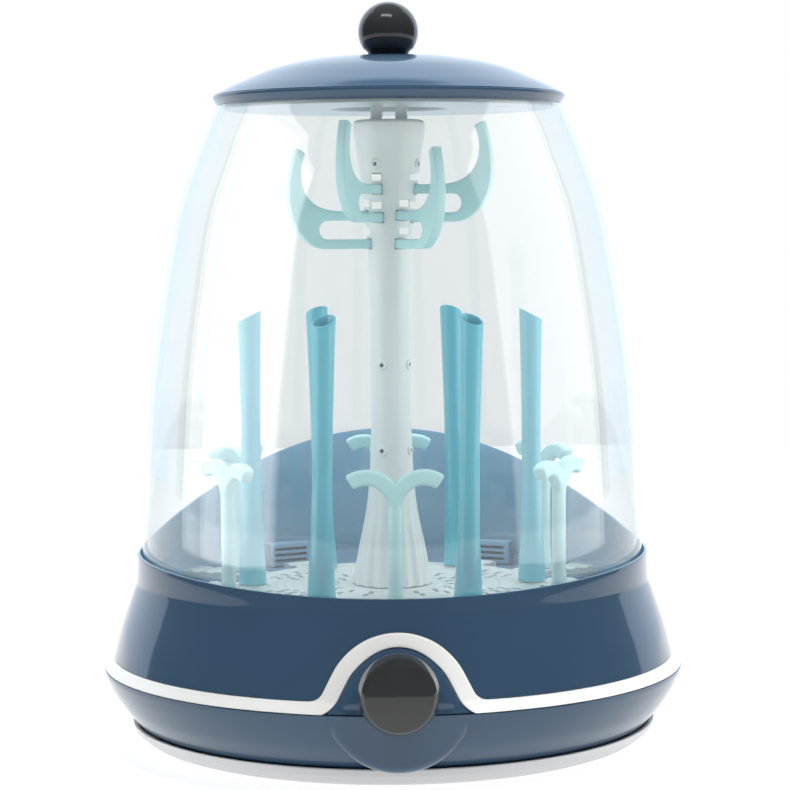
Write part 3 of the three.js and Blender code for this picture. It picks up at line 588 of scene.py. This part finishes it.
def band(edge_low, edge_high, ring_low, ring_high, profile):
    """Sweeps profile((share across, depth) points) between two edges, over the arch and round the ring."""
    half = []
    for (xl, zl), (xh, zh) in zip(edge_low, edge_high):
        half.append([on_skirt(xl + (xh - xl) * v, zl + (zh - zl) * v, d) for v, d in profile(1.0)])
    start = math.degrees(math.asin(edge_high[-1][0] / skirt_radius(edge_high[-1][1])))
    ring = []
    for k in range(1, 120):
        azimuth = start + (180 - start) * k / 120
        blend = min(1.0, (azimuth - start) / 4)
        row = []
        for v, d in profile(1.0 - blend):
            z = ring_low + (ring_high - ring_low) * v
            row.append((*polar(skirt_radius(z) + d, azimuth), z))
        ring.append(row)
    back = []
    for v, d in profile(0.0):
        z = ring_low + (ring_high - ring_low) * v
        back.append((*polar(skirt_radius(z) + d, 180), z))
    right = half + ring
    left = [[(-x, y, z) for x, y, z in row] for row in right[1:]]
    return loft(list(reversed(left)) + right + [back], ring=True)


BAND_DEPTH = 2.3


def make_trim():
    def profile(proud):
        lift = 0.45 * proud
        near = [(0, -0.7), (0.012, -0.35), (0.04, -0.1), (0.09, 0)]
        far = [(1 - v, d) for v, d in reversed(near)]
        outer = near + [(k / 10, 0) for k in range(2, 9)] + far
        return [(v, d + lift) for v, d in outer] + [(1, -BAND_DEPTH), (0.5, -BAND_DEPTH), (0, -BAND_DEPTH)]

    low = arch_edge(-ARCH["half"], SEAM_Z + 0.15, ARCH["swell"])
    high = arch_edge(ARCH["half"], SEAM_Z + 0.15)
    trim = plain("trim", band(low, high, SEAM_Z + 0.15, TRIM_TOP, profile))
    finish_piece(trim, "trim_ring", TRIM, "base", ["trim_band"], 50)


PANEL_LINE = [(146.6, 40), (145.4, 46), (144.1, 52), (141.7, 60), (139.8, 66), (137.6, 72)]


def panel_radius(x, z, top):
    """The panel under the arch flares at the seam, swells behind the knob and leans back at the top."""
    flare = 3.0 * math.exp(-max(z - SEAM_Z - 0.3, 0) / 1.3)
    bulge = 2.6 * min(max((top - z) / 9, 0), 1) ** 0.6 * min(1, max(z - SEAM_Z, 0) / 5)
    edge = min(max((36.5 - abs(x)) / 9, 0), 1)
    base = float(np.interp(z, [p[1] for p in PANEL_LINE], [p[0] for p in PANEL_LINE]))
    return min(base + flare + bulge * edge, SEAM_R - 0.3)


def knob_axis():
    """Turns a piece lathed about Z so that it points along the knob's axis."""
    return shift(0, KNOB["y"], KNOB["z"]) @ spin(90 - KNOB["tilt"], "X")


def make_panel():
    edge = arch_edge(-ARCH["half"] - 0.25, SEAM_Z + 0.15, ARCH["swell"])
    half = [(x, z) for x, z in edge if z > SEAM_Z + 0.9]
    columns = [(-x, z) for x, z in reversed(half[1:])] + half
    sections = []
    for x, top in columns:
        low = SEAM_Z + 0.4
        front, back = [], []
        for k in range(25):
            t = k / 24
            z = low + (top - low) * t
            r = panel_radius(x, z, top) - (0.5 if k in (0, 24) else 0.12 if k in (1, 23) else 0)
            front.append((x, -math.sqrt(r * r - x * x), z))
            back.append((x, -math.sqrt((skirt_radius(z) - BAND_DEPTH) ** 2 - x * x), z))
        sections.append(front + back[::-1])
    panel = plain("panel", loft(sections))
    combine(panel, [moved(rod(SHAFT_BORE, -40, 40), knob_axis())])
    finish_piece(panel, "knob_panel", NAVY, "base", (), 35)


SKIRT_TOP = SKIRT[-1][1]


def rim_height(azimuth):
    """Height of the collar's edge at an azimuth in radians."""
    away = abs(math.degrees(azimuth))
    if away <= 90:
        return RIM_FRONT + (RIM_SIDE - RIM_FRONT) * math.sin(math.radians(away)) ** 2
    return RIM_SIDE + (RIM_BACK - RIM_SIDE) * math.cos(math.radians(away)) ** 2


def raise_rim(verts):
    """Lifts the collar's edge from its low front to its high back; it leans inward as it rises."""
    for v in verts:
        radius = math.hypot(v[0], v[1])
        if v[2] <= SKIRT_TOP or radius < 120:
            continue
        rise = rim_height(math.atan2(v[0], -v[1])) - RIM_FRONT
        share = min((v[2] - SKIRT_TOP) / 6, 1)
        share = share * share * (3 - 2 * share)
        v[2] += rise * share
        lean = 1 - 0.008 * rise * share / radius
        v[0] *= lean
        v[1] *= lean
    return verts


def make_upper():
    collar = [(SKIRT[-1][0] - 0.106 * k, SKIRT_TOP + k) for k in range(7)]
    edge = soften([(132.54, 90.2), (132.35, 92, 0.7), (130.9, 92, 0.5), (130.9, 90)])[1:-1]
    bore = [(130.9, z) for z in (90, 88, 86, 84, 79.7)]
    well = [(126.7, 79.7), (126.7, 74), (117.5, 74), (115.5, 60.5), (72, 58.7), (72, 57), (64, 57)]
    under = [(64, 54.8), (117.5, 57.6), (119.7, 71), (132.4, 71), (137, 60), (140, TRIM_TOP)]
    outline = ([(149.9, SEAM_Z + GAP), (145.4, TRIM_TOP)] + SKIRT_LINE[1:-1] + collar + edge + bore + well
               + under + [(139.6, SEAM_Z + GAP)])
    shell = plain("upper", lathe(outline, 288, raise_rim))
    high = arch_edge(ARCH["half"] + 0.22, SEAM_Z + 0.15)
    low = [(x, SEAM_Z - 2) for x, _ in high]
    section = [(0, -2.6), (0, 6), (0.5, 6), (1, 6), (1, -2.6), (0.5, -2.6)]
    groove = plain("groove", band(low, high, SEAM_Z - 2, TRIM_TOP + 0.22, lambda proud: section))
    combine(shell, [groove, moved(rod(SHAFT_BORE, -40, 40), knob_axis())])
    for side in (-1, 1):
        combine(shell, [moved(box(-9, 9, 120.5, 123.5, 60, 76), spin(side * -OUTLET_AZIMUTH))])
    finish_piece(shell, "upper_shell", NAVY, "base", ["upper_housing"], 30)


def make_outlets():
    for side, name in ((1, "right"), (-1, "left")):
        tower = box(-13, 13, 118.5, 125.2, 74.3, 88)
        mod = tower.modifiers.new("soft", "BEVEL")
        mod.width, mod.segments = 0.0012, 3
        settle(tower)
        combine(tower, [box(-11.4, 11.4, 120.1, 123.6, 73, 86.4)])
        for louvre in range(3):
            z = 77.7 + 3.2 * louvre
            combine(tower, [box(-10, 10, 116, 121.5, z - 0.7, z + 0.9)])
        moved(tower, spin(side * -OUTLET_AZIMUTH))
        finish_piece(tower, f"air_outlet_grille_{name}", NAVY, "base", [f"air_outlet_{name}"])


# ------------------------------------------------------------------ knob and rack
def make_knob():
    face = 12.15
    hub = [(0, 3), (3.3, 3), (3.3, -4.4), (9, -4.4), (9, -0.2)]
    grip = [(18.3, -0.2, 0.4), (19, 0.6, 0.4), (19, 2.4, 0.8), (17.4, 10.4, 0.8)]
    outline = soften(hub + grip + [(16.4, face - 0.5, 0.4), (15.8, face, 0.35), (0, face)], 5)
    knob = plain("knob", lathe(outline, 160))
    facet = moved(box(-30, 30, -30, 30, 0, 30), shift(0, 13.4, face) @ spin(-28, "X"))
    combine(knob, [facet])
    moved(knob, knob_axis())
    finish_piece(knob, "selector_dial", BLACK, "selector", ["selector_knob"], 25)


def rack_top(r):
    """Height of the rack's ribbed top at radius r."""
    first, pitch = 18, 9.0
    if r < first:
        return RACK_TOP - 0.1
    wave = abs(((r - first) % pitch) / pitch - 0.5) * 2
    return RACK_TOP - 0.6 * min(max((wave - 0.42) * 4, 0), 1)


def rack_radius(azimuth):
    """Edge of the rack: a round core, long arms under the teat posts, short petals under the bottle posts."""
    reach = RACK["core"]
    limbs = ((0, RACK["arm"], RACK["arm_half"]), (30, RACK["petal"], RACK["petal_half"]))
    for centre, length, half in limbs:
        offset = abs((azimuth - centre + 30) % 60 - 30)
        across = math.sin(math.radians(max(offset, 0.01)))
        reach = max(reach, min(length, half / across))
    return reach


def make_rack():
    reach = RACK["arm"]
    outline = [(0, RACK_LOW), (reach, RACK_LOW), (reach, RACK_TOP - 0.9), (reach - 0.4, RACK_TOP - 0.3)]
    outline += [(r / 2, rack_top(r / 2)) for r in range(int(2 * reach) - 2, 27, -1)]
    outline += soften([(13.9, RACK_TOP - 0.1), (13, RACK_TOP + 1, 0.8), (13, 95, 0.8), (0, 95)])[1:]
    plate = plain("rack", lathe(outline, 360))
    edge = [polar(rack_radius(k / 2), k / 2) for k in range(720)]
    combine(plate, [plain("edge", loft([[(x, y, z) for x, y in edge] for z in (60, 110)]))], "INTERSECT")
    pads = []
    for index in range(6):
        turn = 60 * index
        pads.append(moved(rod(8.8, RACK_LOW + 0.5, RACK_TOP), shift(*polar(POST_R, 30 + turn), 0)))
        pads.append(moved(rod(6.0, RACK_LOW + 0.5, RACK_TOP), shift(*polar(TEAT_R, turn), 0)))
        pads.append(moved(box(-8, 8, 118.5, 124, 74.3, RACK_LOW + 1), spin(turn)))
    combine(plate, pads, "UNION")
    holes = []
    for index in range(6):
        turn = 60 * index
        holes.append(moved(rod(4.4, 60, 90), shift(*polar(POST_R, 30 + turn), 0)))
        holes.append(moved(rod(2.8, 60, 90), shift(*polar(TEAT_R, turn), 0)))
        for inner, outer, offsets in ((52, 70, (-9, 0, 9)), (28, 44, (-20, 0, 20))):
            for offset in offsets:
                tool = box(-1.3, 1.3, -outer, -inner, 60, 90)
                holes.append(moved(tool, spin(turn + offset)))
    combine(plate, holes)
    finish_piece(plate, "rack_plate", RACK_WHITE, "rack", ["rack"], 40)


# ------------------------------------------------------------------ bottle posts and teat posts
def slant(verts):
    """Cuts a bottle post's top across at an angle, more and more towards its end."""
    slope = math.tan(math.radians(SLANT["angle"]))
    for v in verts:
        if v[2] >= SLANT["start"]:
            share = ((v[2] - SLANT["start"]) / SLANT["length"]) ** 2
            v[2] -= share * slope * (v[1] + SLANT["pivot"])
    return verts


def make_posts():
    peg = [(0, 76.3), (4, 76.3), (4, POST_FOOT), (7.1, POST_FOOT), (7.25, POST_FOOT + 0.3)]
    side = catmull([(7.25, POST_FOOT + 1), (5.7, 112), (5, 150), (5.35, 190), (6, 223)], 40)
    lip = soften([(5.97, 222), (6, 223.2, 0.6), (4.7, 223.2, 0.6), (4.6, 220)], 5)[1:-1]
    bore = [(4.6, 219), (4.1, 200), (3.4, 198.8), (0, 198.6)]
    for index in range(6):
        azimuth = 30 + 60 * index
        post = plain("post", lathe(peg + side[:-1] + lip + bore, 64, slant))
        moved(post, shift(0, 0, POST_FOOT) @ spin(-POST_LEAN, "Y") @ shift(0, 0, -POST_FOOT))
        moved(post, shift(*polar(POST_R, azimuth), 0) @ spin(azimuth + 180))
        name = f"bottle_post_tube_{index + 1}"
        finish_piece(post, name, TEAL, "rack", [f"bottle_post_{index + 1}"], 40)


def rounded_section(centre, across, half, squareness, count=28):
    """A rounded loop about a point of the XZ plane; across is the in-plane direction of its width."""
    loop = []
    for k in range(count):
        a = 2 * math.pi * k / count
        ca, sa = math.cos(a), math.sin(a)
        power = 2 / squareness
        u = half[0] * math.copysign(abs(ca) ** power, ca)
        v = half[1] * math.copysign(abs(sa) ** power, sa)
        loop.append((centre[0] + across[0] * u, v, centre[1] + across[1] * u))
    return loop


TEAT = dict(stem=3.45, fork_z=132.0, bend=14.0, sweep=122.5)


def teat_arm(side):
    """A limb that leaves the stem, rises over an arc and droops; its section turns from round to squarish."""
    stem, bend, sweep = TEAT["stem"], TEAT["bend"], TEAT["sweep"]
    sections = [rounded_section((0, z), (-side, 0), (stem - 0.05, stem - 0.05), 2.0) for z in (96, 112)]
    for k in range(33):
        t = k / 32
        angle = math.radians(sweep * t)
        share = min(t * 3, 1)
        radius = bend - 0.45 * share
        across = (-side * math.cos(angle), math.sin(angle))
        centre = (side * bend + across[0] * radius, TEAT["fork_z"] + across[1] * radius)
        sections.append(rounded_section(centre, across, (stem + 0.4 * share, stem), 2 + 2 * share))
    end = sections[-1]
    middle = np.mean(np.array(end), axis=0)
    along = np.array((side * math.sin(angle), 0, math.cos(angle)))
    for step, scale in ((0.5, 0.93), (0.8, 0.75)):
        sections.append([tuple(middle + (np.array(p) - middle) * scale + along * step) for p in end])
    return plain("arm", loft(sections))


def make_teat_posts():
    stem, top = TEAT["stem"], TEAT["fork_z"]
    foot = soften([(0, 76.7), (2.3, 76.7), (2.3, POST_FOOT), (4.25, POST_FOOT, 0.3), (4.1, 84, 1),
                   (stem, 93, 4), (stem, top), (0, top)])
    for index in range(6):
        azimuth = 60 * index
        post = plain("stem", lathe(foot, 56))
        combine(post, [teat_arm(1), teat_arm(-1)], "UNION")
        moved(post, shift(*polar(TEAT_R, azimuth), 0) @ spin(azimuth))
        name = f"teat_post_fork_{index + 1}"
        finish_piece(post, name, MINT, "rack", [f"teat_post_{index + 1}"], 40)


# ------------------------------------------------------------------ tree
TRUNK = [(20.7, POST_FOOT), (17.6, 98), (12.8, 123), (10.7, 155), (10.3, 200), (11.6, 253), (16.1, 298),
         (18.6, 315)]
TRUNK_LINE = catmull(TRUNK, 80)
FLUTES = dict(count=16, depth=0.075, height=66.0)


def trunk_radius(z):
    return float(np.interp(z, [p[1] for p in TRUNK_LINE], [p[0] for p in TRUNK_LINE]))


def flute(verts):
    """Shallow hollows round the trunk's foot, which fade out upward."""
    for v in verts:
        azimuth = math.atan2(v[0], -v[1])
        depth = FLUTES["depth"] * max(0.0, 1 - (v[2] - POST_FOOT) / FLUTES["height"]) ** 1.2
        scale = 1 - depth * (0.5 - 0.5 * math.cos(FLUTES["count"] * azimuth))
        v[0] *= scale
        v[1] *= scale
    return verts


def make_trunk():
    crown = soften([(18.6, 315), (18.5, 319.6, 2.2), (16.4, 320.7, 2.5), (0, 320.7)])[1:-1]
    hollow = [(r - 2.2, z) for r, z in reversed(catmull(TRUNK[:-1], 60))]
    outline = catmull(TRUNK, 96) + crown + [(0, 320.7), (0, 316.7), (15.4, 316.7)] + hollow
    trunk = plain("trunk", lathe(outline, 192, flute))
    for _, azimuth, z, window_x in TREE_HOOKS:
        for arm_z in (z, z + HOOK["pitch"]):
            hole = box(6, 30, -HOOK["tongue"], HOOK["tongue"], arm_z - HOOK["hole"], arm_z + HOOK["hole"])
            left, right = window_x - HOOK["window"], window_x + HOOK["window"]
            window = box(left, right, -30, 30, arm_z + 4.5, arm_z + 8.2)
            combine(trunk, [moved(hole, spin(azimuth - 90)), window])
    for z in EYE_HEIGHTS:
        r = trunk_radius(z)
        for quarter in range(4):
            place = spin(EYE_AZIMUTH + 90 * quarter) @ shift(0, 0, z) @ spin(90, "Y")
            outline = soften([(0, r - 2), (2.9, r - 2), (2.5, r + 0.7, 0.6), (0, r + 0.7)])
            combine(trunk, [moved(plain("pad", lathe(outline, 40)), place)], "UNION")
            combine(trunk, [moved(rod(1.15, r - 5, r + 5, 24), place)])
    for x in (-6.8, 6.8):
        combine(trunk, [box(x - 3.4, x + 3.4, -HOOK["tongue"], HOOK["tongue"], 315.7, 330)])
    finish_piece(trunk, "trunk_column", WHITE, "tree", ["tree_trunk"], 32)


def make_loop():
    foot, half, slit = LOOP["foot"], LOOP["half"], LOOP["slit"]
    outline = ([(-half, foot)] + arc(0, LOOP["z"], LOOP["outer"], 180, 0, 24) + [(half, foot), (slit, foot)]
               + arc(0, LOOP["z"], LOOP["inner"], 0, 180, 16) + [(-slit, foot)])
    loop = slab("loop", [outline], HOOK["thick"], 0.8)
    finish_piece(loop, "loop_handle", WHITE, "tree", ["lifting_loop"], 40)


def make_hooks():
    low, high, root = -2.5, 17.0, 8.2
    blade = [(root, low)] + bezier((36, low), (47, low), (56.2, 10), (56.2, 24), 18)
    blade += bezier((56.2, 24), (56.2, 33), (54.6, 41), (51.8, 48.6))[1:]
    blade += bezier((51.8, 48.6), (50.3, 48.6), (48.3, 47.6), (47.1, 46.1), 6)[1:]
    blade += bezier((47.1, 46.1), (51.5, 36), (51.5, high), (28, high), 20)[1:]
    blade += [(root, high), (root, high - 5)] + arc(35, 7.25, 4.75, 90, -90, 16) + [(root, low + 5)]
    for name, azimuth, z, _ in TREE_HOOKS:
        hook = slab("hook", [blade], HOOK["thick"], 1.0, 4)
        moved(hook, shift(0, 0, z) @ spin(azimuth - 90))
        node_name = f"tree_hook_{name}"
        finish_piece(hook, f"hook_blade_{name}", MINT, f"hook_{name}", [node_name], 40)


# ------------------------------------------------------------------ dome and lid
def make_dome():
    wall = 2.5
    line = catmull([(129.9, 80), (129.4, 113), (127, 152), (123.4, 192), (117, 234), (108.4, 277),
                    (97, 309.5), (89.2, 327.7)], 90)
    inner = [(r - wall, z) for r, z in line]
    outline = [(129.5, 80.0), (129.9, 80.4)] + line[1:-1]
    outline += [(89.4, 327.2), (88.9, 327.7), (87.2, 327.7), (86.8, 327.3)]
    outline += inner[-2:0:-1] + [(127.4, 80.4), (127.8, 80.0)]
    dome = plain("dome", lathe(outline, 256))
    finish_piece(dome, "dome_shell", CLEAR, "dome", ["clear_dome"], 40)


def make_lid_cover():
    crown = catmull([(89.6, 333.7), (78.8, 339.2), (58.5, 347.3), (36, 352), (14, 353.3)], 48)
    edge = soften([(82.4, 333), (82.4, 328), (88.2, 328, 0.5), (90.8, 331.9, 0.7), (90.5, 333.1, 0.4)], 4)
    under = [(2.2, 353.3), (2.2, 351.1), (14, 351.1), (52, 346), (75, 337.2)]
    cover = plain("lid", lathe(edge + [(90.0, 333.35), (89.6, 333.3)] + crown + under, 288))
    finish_piece(cover, "lid_cover", NAVY, "lid", ["lid_shell"], 28)


def make_lid_liner():
    sheet = 1.6
    low, cup_z = 326.1, 344.8
    outline = soften([(0, cup_z), (13.6, cup_z, 1.5), (30, low, 2.0), (84.6, low, 0.6), (84.6, low + sheet),
                      (30 + sheet, low + sheet, 2.0), (13.6 + sheet, cup_z + sheet, 1.5), (0, cup_z + sheet)])
    liner = plain("liner", lathe(outline, 240))
    finish_piece(liner, "lid_liner_disc", LINER, "lid", ["lid_liner"], 35)


def make_ball():
    radius, middle = BALL["radius"], BALL["z"]
    turns = np.linspace(math.asin((BALL["low"] - middle) / radius), math.pi / 2, 40)
    ball = [(radius * math.cos(a), middle + radius * math.sin(a)) for a in turns]
    neck = soften([(0, 353.6), (9.8, 353.6, 0.3), (10.4, 354.2, 0.3), (11.0, 355.8, 1.5), (12.3, 356.6, 0.4)])
    knob = plain("ball", lathe(neck + ball[:-1] + [(0, BALL["top"])], 128))
    combine(knob, [rod(1.8, 340, 366)])
    finish_piece(knob, "ball_handle", BLACK, "lid", ["lid_knob"], 30)


make_dish()
make_feet()
make_lower()
make_filter_door()
make_gland()
make_trim()
make_panel()
make_upper()
make_outlets()
make_knob()
make_rack()
make_posts()
make_teat_posts()
make_trunk()
make_loop()
make_hooks()
make_dome()
make_lid_cover()
make_lid_liner()
make_ball()

# CAD nodes that keep their own shape and only take a material.
CARRIED = {
    "heating_plate": STEEL, "plate_gasket": SILICONE, "heating_element": STEEL, "thermostat": MATT,
    "fan_casing": MATT, "fan_wheel": WHITE, "fan_shaft": STEEL, "fan_motor": MATT, "control_board": BOARD,
    "selector_shaft": STEEL, "selector_switch": MATT, "air_filter": FOAM, "lid_screw": ZINC,
}
for name, material in CARRIED.items():
    mesh = nodes[name].data
    mesh.materials.clear()
    mesh.materials.append(material)


# ------------------------------------------------------------------ floor, light and camera, in metres
def stage_floor():
    half, near, far = 2.5, -2.7, 1.6
    corners = [(-half, near, 0), (half, near, 0), (half, far, 0), (-half, far, 0)]
    mesh = bpy.data.meshes.new("floor")
    mesh.from_pydata(corners, [], [(0, 1, 2, 3)])
    floor = bpy.data.objects.new("floor", mesh)
    scene.collection.objects.link(floor)
    mat = bpy.data.materials.new("floor_paper")
    mat.use_nodes = True
    bsdf = mat.node_tree.nodes["Principled BSDF"]
    bsdf.inputs["Base Color"].default_value = (0.3, 0.3, 0.3, 1)
    bsdf.inputs["Roughness"].default_value = 0.9
    bsdf.inputs["Specular IOR Level"].default_value = 0.1
    bsdf.inputs["Emission Color"].default_value = (1, 1, 1, 1)
    bsdf.inputs["Emission Strength"].default_value = 0.82
    mesh.materials.append(mat)
    floor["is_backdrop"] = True


def world_light():
    """The camera sees plain white; reflections see a white backdrop at the back, a dim studio elsewhere."""
    world = bpy.data.worlds.new("studio")
    scene.world = world
    world.use_nodes = True
    tree = world.node_tree
    tree.nodes.clear()
    link = tree.links.new
    place = node(tree, "ShaderNodeTexCoord")
    split = node(tree, "ShaderNodeSeparateXYZ")
    link(place.outputs["Generated"], split.inputs[0])

    def maths(operation, a, b=None):
        n = node(tree, "ShaderNodeMath", operation=operation)
        for socket, value in zip(n.inputs, (a, b)):
            if value is None:
                continue
            if isinstance(value, (int, float)):
                socket.default_value = value
            else:
                link(value, socket)
        return n.outputs[0]

    def ramp(value, low, high):
        n = node(tree, "ShaderNodeMapRange", interpolation_type="SMOOTHSTEP")
        n.inputs["From Min"].default_value = low
        n.inputs["From Max"].default_value = high
        link(value, n.inputs["Value"])
        return n.outputs["Result"]

    up = split.outputs["Z"]
    flat = maths("SQRT", maths("MAXIMUM", maths("SUBTRACT", 1.0, maths("MULTIPLY", up, up)), 1e-4))
    toward_back = maths("DIVIDE", split.outputs["Y"], flat)
    below = maths("SUBTRACT", 1.0, ramp(up, 0.74, 0.80))
    behind = maths("MULTIPLY", ramp(toward_back, 0.455, 0.485), below)
    level = maths("ADD", maths("MULTIPLY", behind, 1.05), 0.10)
    reflected = node(tree, "ShaderNodeBackground")
    link(level, reflected.inputs["Strength"])
    reflected.inputs["Color"].default_value = (0.88, 1.0, 1.14, 1)
    seen = node(tree, "ShaderNodeBackground", Strength=1.0)
    seen.inputs["Color"].default_value = (1, 1, 1, 1)
    path = node(tree, "ShaderNodeLightPath")
    mix = node(tree, "ShaderNodeMixShader")
    link(path.outputs["Is Camera Ray"], mix.inputs["Fac"])
    link(reflected.outputs[0], mix.inputs[1])
    link(seen.outputs[0], mix.inputs[2])
    out = node(tree, "ShaderNodeOutputWorld")
    link(mix.outputs[0], out.inputs["Surface"])


def softbox(name, direction, distance, size, power, only=None, mirrored=False, target=(0, 0, 0.18)):
    """A soft lamp aimed at target from (azimuth, elevation). With only, it lights just those pieces;
    mirrored lets gloss show it."""
    lamp = bpy.data.lights.new(name, "AREA")
    lamp.shape = "RECTANGLE"
    lamp.size, lamp.size_y = size
    lamp.energy = power
    obj = bpy.data.objects.new(name, lamp)
    a, e = (math.radians(q) for q in direction)
    away = Vector((math.sin(a) * math.cos(e), -math.cos(a) * math.cos(e), math.sin(e)))
    obj.location = Vector(target) + away * distance
    obj.rotation_mode = "QUATERNION"
    obj.rotation_quaternion = away.to_track_quat("Z", "Y")
    scene.collection.objects.link(obj)
    obj.visible_camera = False
    obj.visible_glossy = mirrored
    if only is not None:
        obj.light_linking.receiver_collection = only
    return obj


def group(name, wanted):
    """A collection of the pieces that wanted(piece) picks out, for a lamp to light."""
    chosen = bpy.data.collections.new(name)
    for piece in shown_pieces():
        if wanted(piece):
            chosen.objects.link(piece)
    return chosen


def pale(piece):
    return any(m.name.startswith(("clear", "white", "teal", "mint")) for m in piece.data.materials if m)


def light_object():
    sides = group("lit_from_the_sides", pale)
    knobs = group("lit_by_the_glint", lambda o: o.name.startswith(("selector_dial", "ball_handle")))
    trim = group("lit_from_the_front", lambda o: o.name == "trim_ring")
    cover = group("veiled_from_the_left", lambda o: o.name == "dome_shell")
    softbox("side_left", (-80, 17), 0.95, (1.0, 0.98), 6.4, sides, True)
    softbox("side_right", (80, 17), 0.95, (1.0, 0.98), 6.4, sides, True)
    softbox("key_left", (-55, 52), 2.2, (1.2, 1.2), 13)
    softbox("key_right", (50, 56), 2.2, (1.2, 1.2), 25)
    softbox("top", (180, 68), 2.2, (1.6, 1.6), 72)
    softbox("front", (58, 18), 1.5, (0.8, 0.8), 7.2, trim)
    softbox("veil_left", (-72, 15), 0.95, (0.75, 0.92), 4.6, cover, True)
    softbox("glint", (-12, 66), 1.5, (0.8, 0.25), 3.5, knobs, True)
    collar = group("lit_behind_the_dome", lambda o: o.name.startswith(("upper_shell", "air_outlet")))
    fill = softbox("collar_fill", (0, 40), 0.2, (0.24, 0.08), 2.0, collar, target=(0, 0.131, 0.115))
    fill.light_linking.blocker_collection = collar
    fill.data.color = (1.0, 0.98, 0.82)


def stand_camera():
    """A long lens at the front, a little above the object and turned a little to its right."""
    tilt, roll, yaw = 0.07299, 0.00785, math.radians(1.03)
    camera = bpy.data.objects.new("camera", bpy.data.cameras.new("camera"))
    camera.data.sensor_width = 36
    camera.data.lens = 111.55
    camera.data.clip_start, camera.data.clip_end = 0.05, 20
    scene.collection.objects.link(camera)
    forward = Vector((math.sin(yaw) * math.cos(tilt), math.cos(yaw) * math.cos(tilt), -math.sin(tilt)))
    right = Vector((math.cos(yaw), -math.sin(yaw), 0))
    up = right.cross(forward)
    right_rolled = right * math.cos(roll) - up * math.sin(roll)
    up_rolled = up * math.cos(roll) + right * math.sin(roll)
    turn = Matrix((right_rolled, up_rolled, -forward)).transposed().to_quaternion()
    camera.matrix_world = Matrix.LocRotScale(Vector((-0.02076, -1.26959, 0.27125)), turn, None)
    scene.camera = camera
    scene.view_settings.view_transform = "Standard"


stage_floor()
world_light()
light_object()
stand_camera()
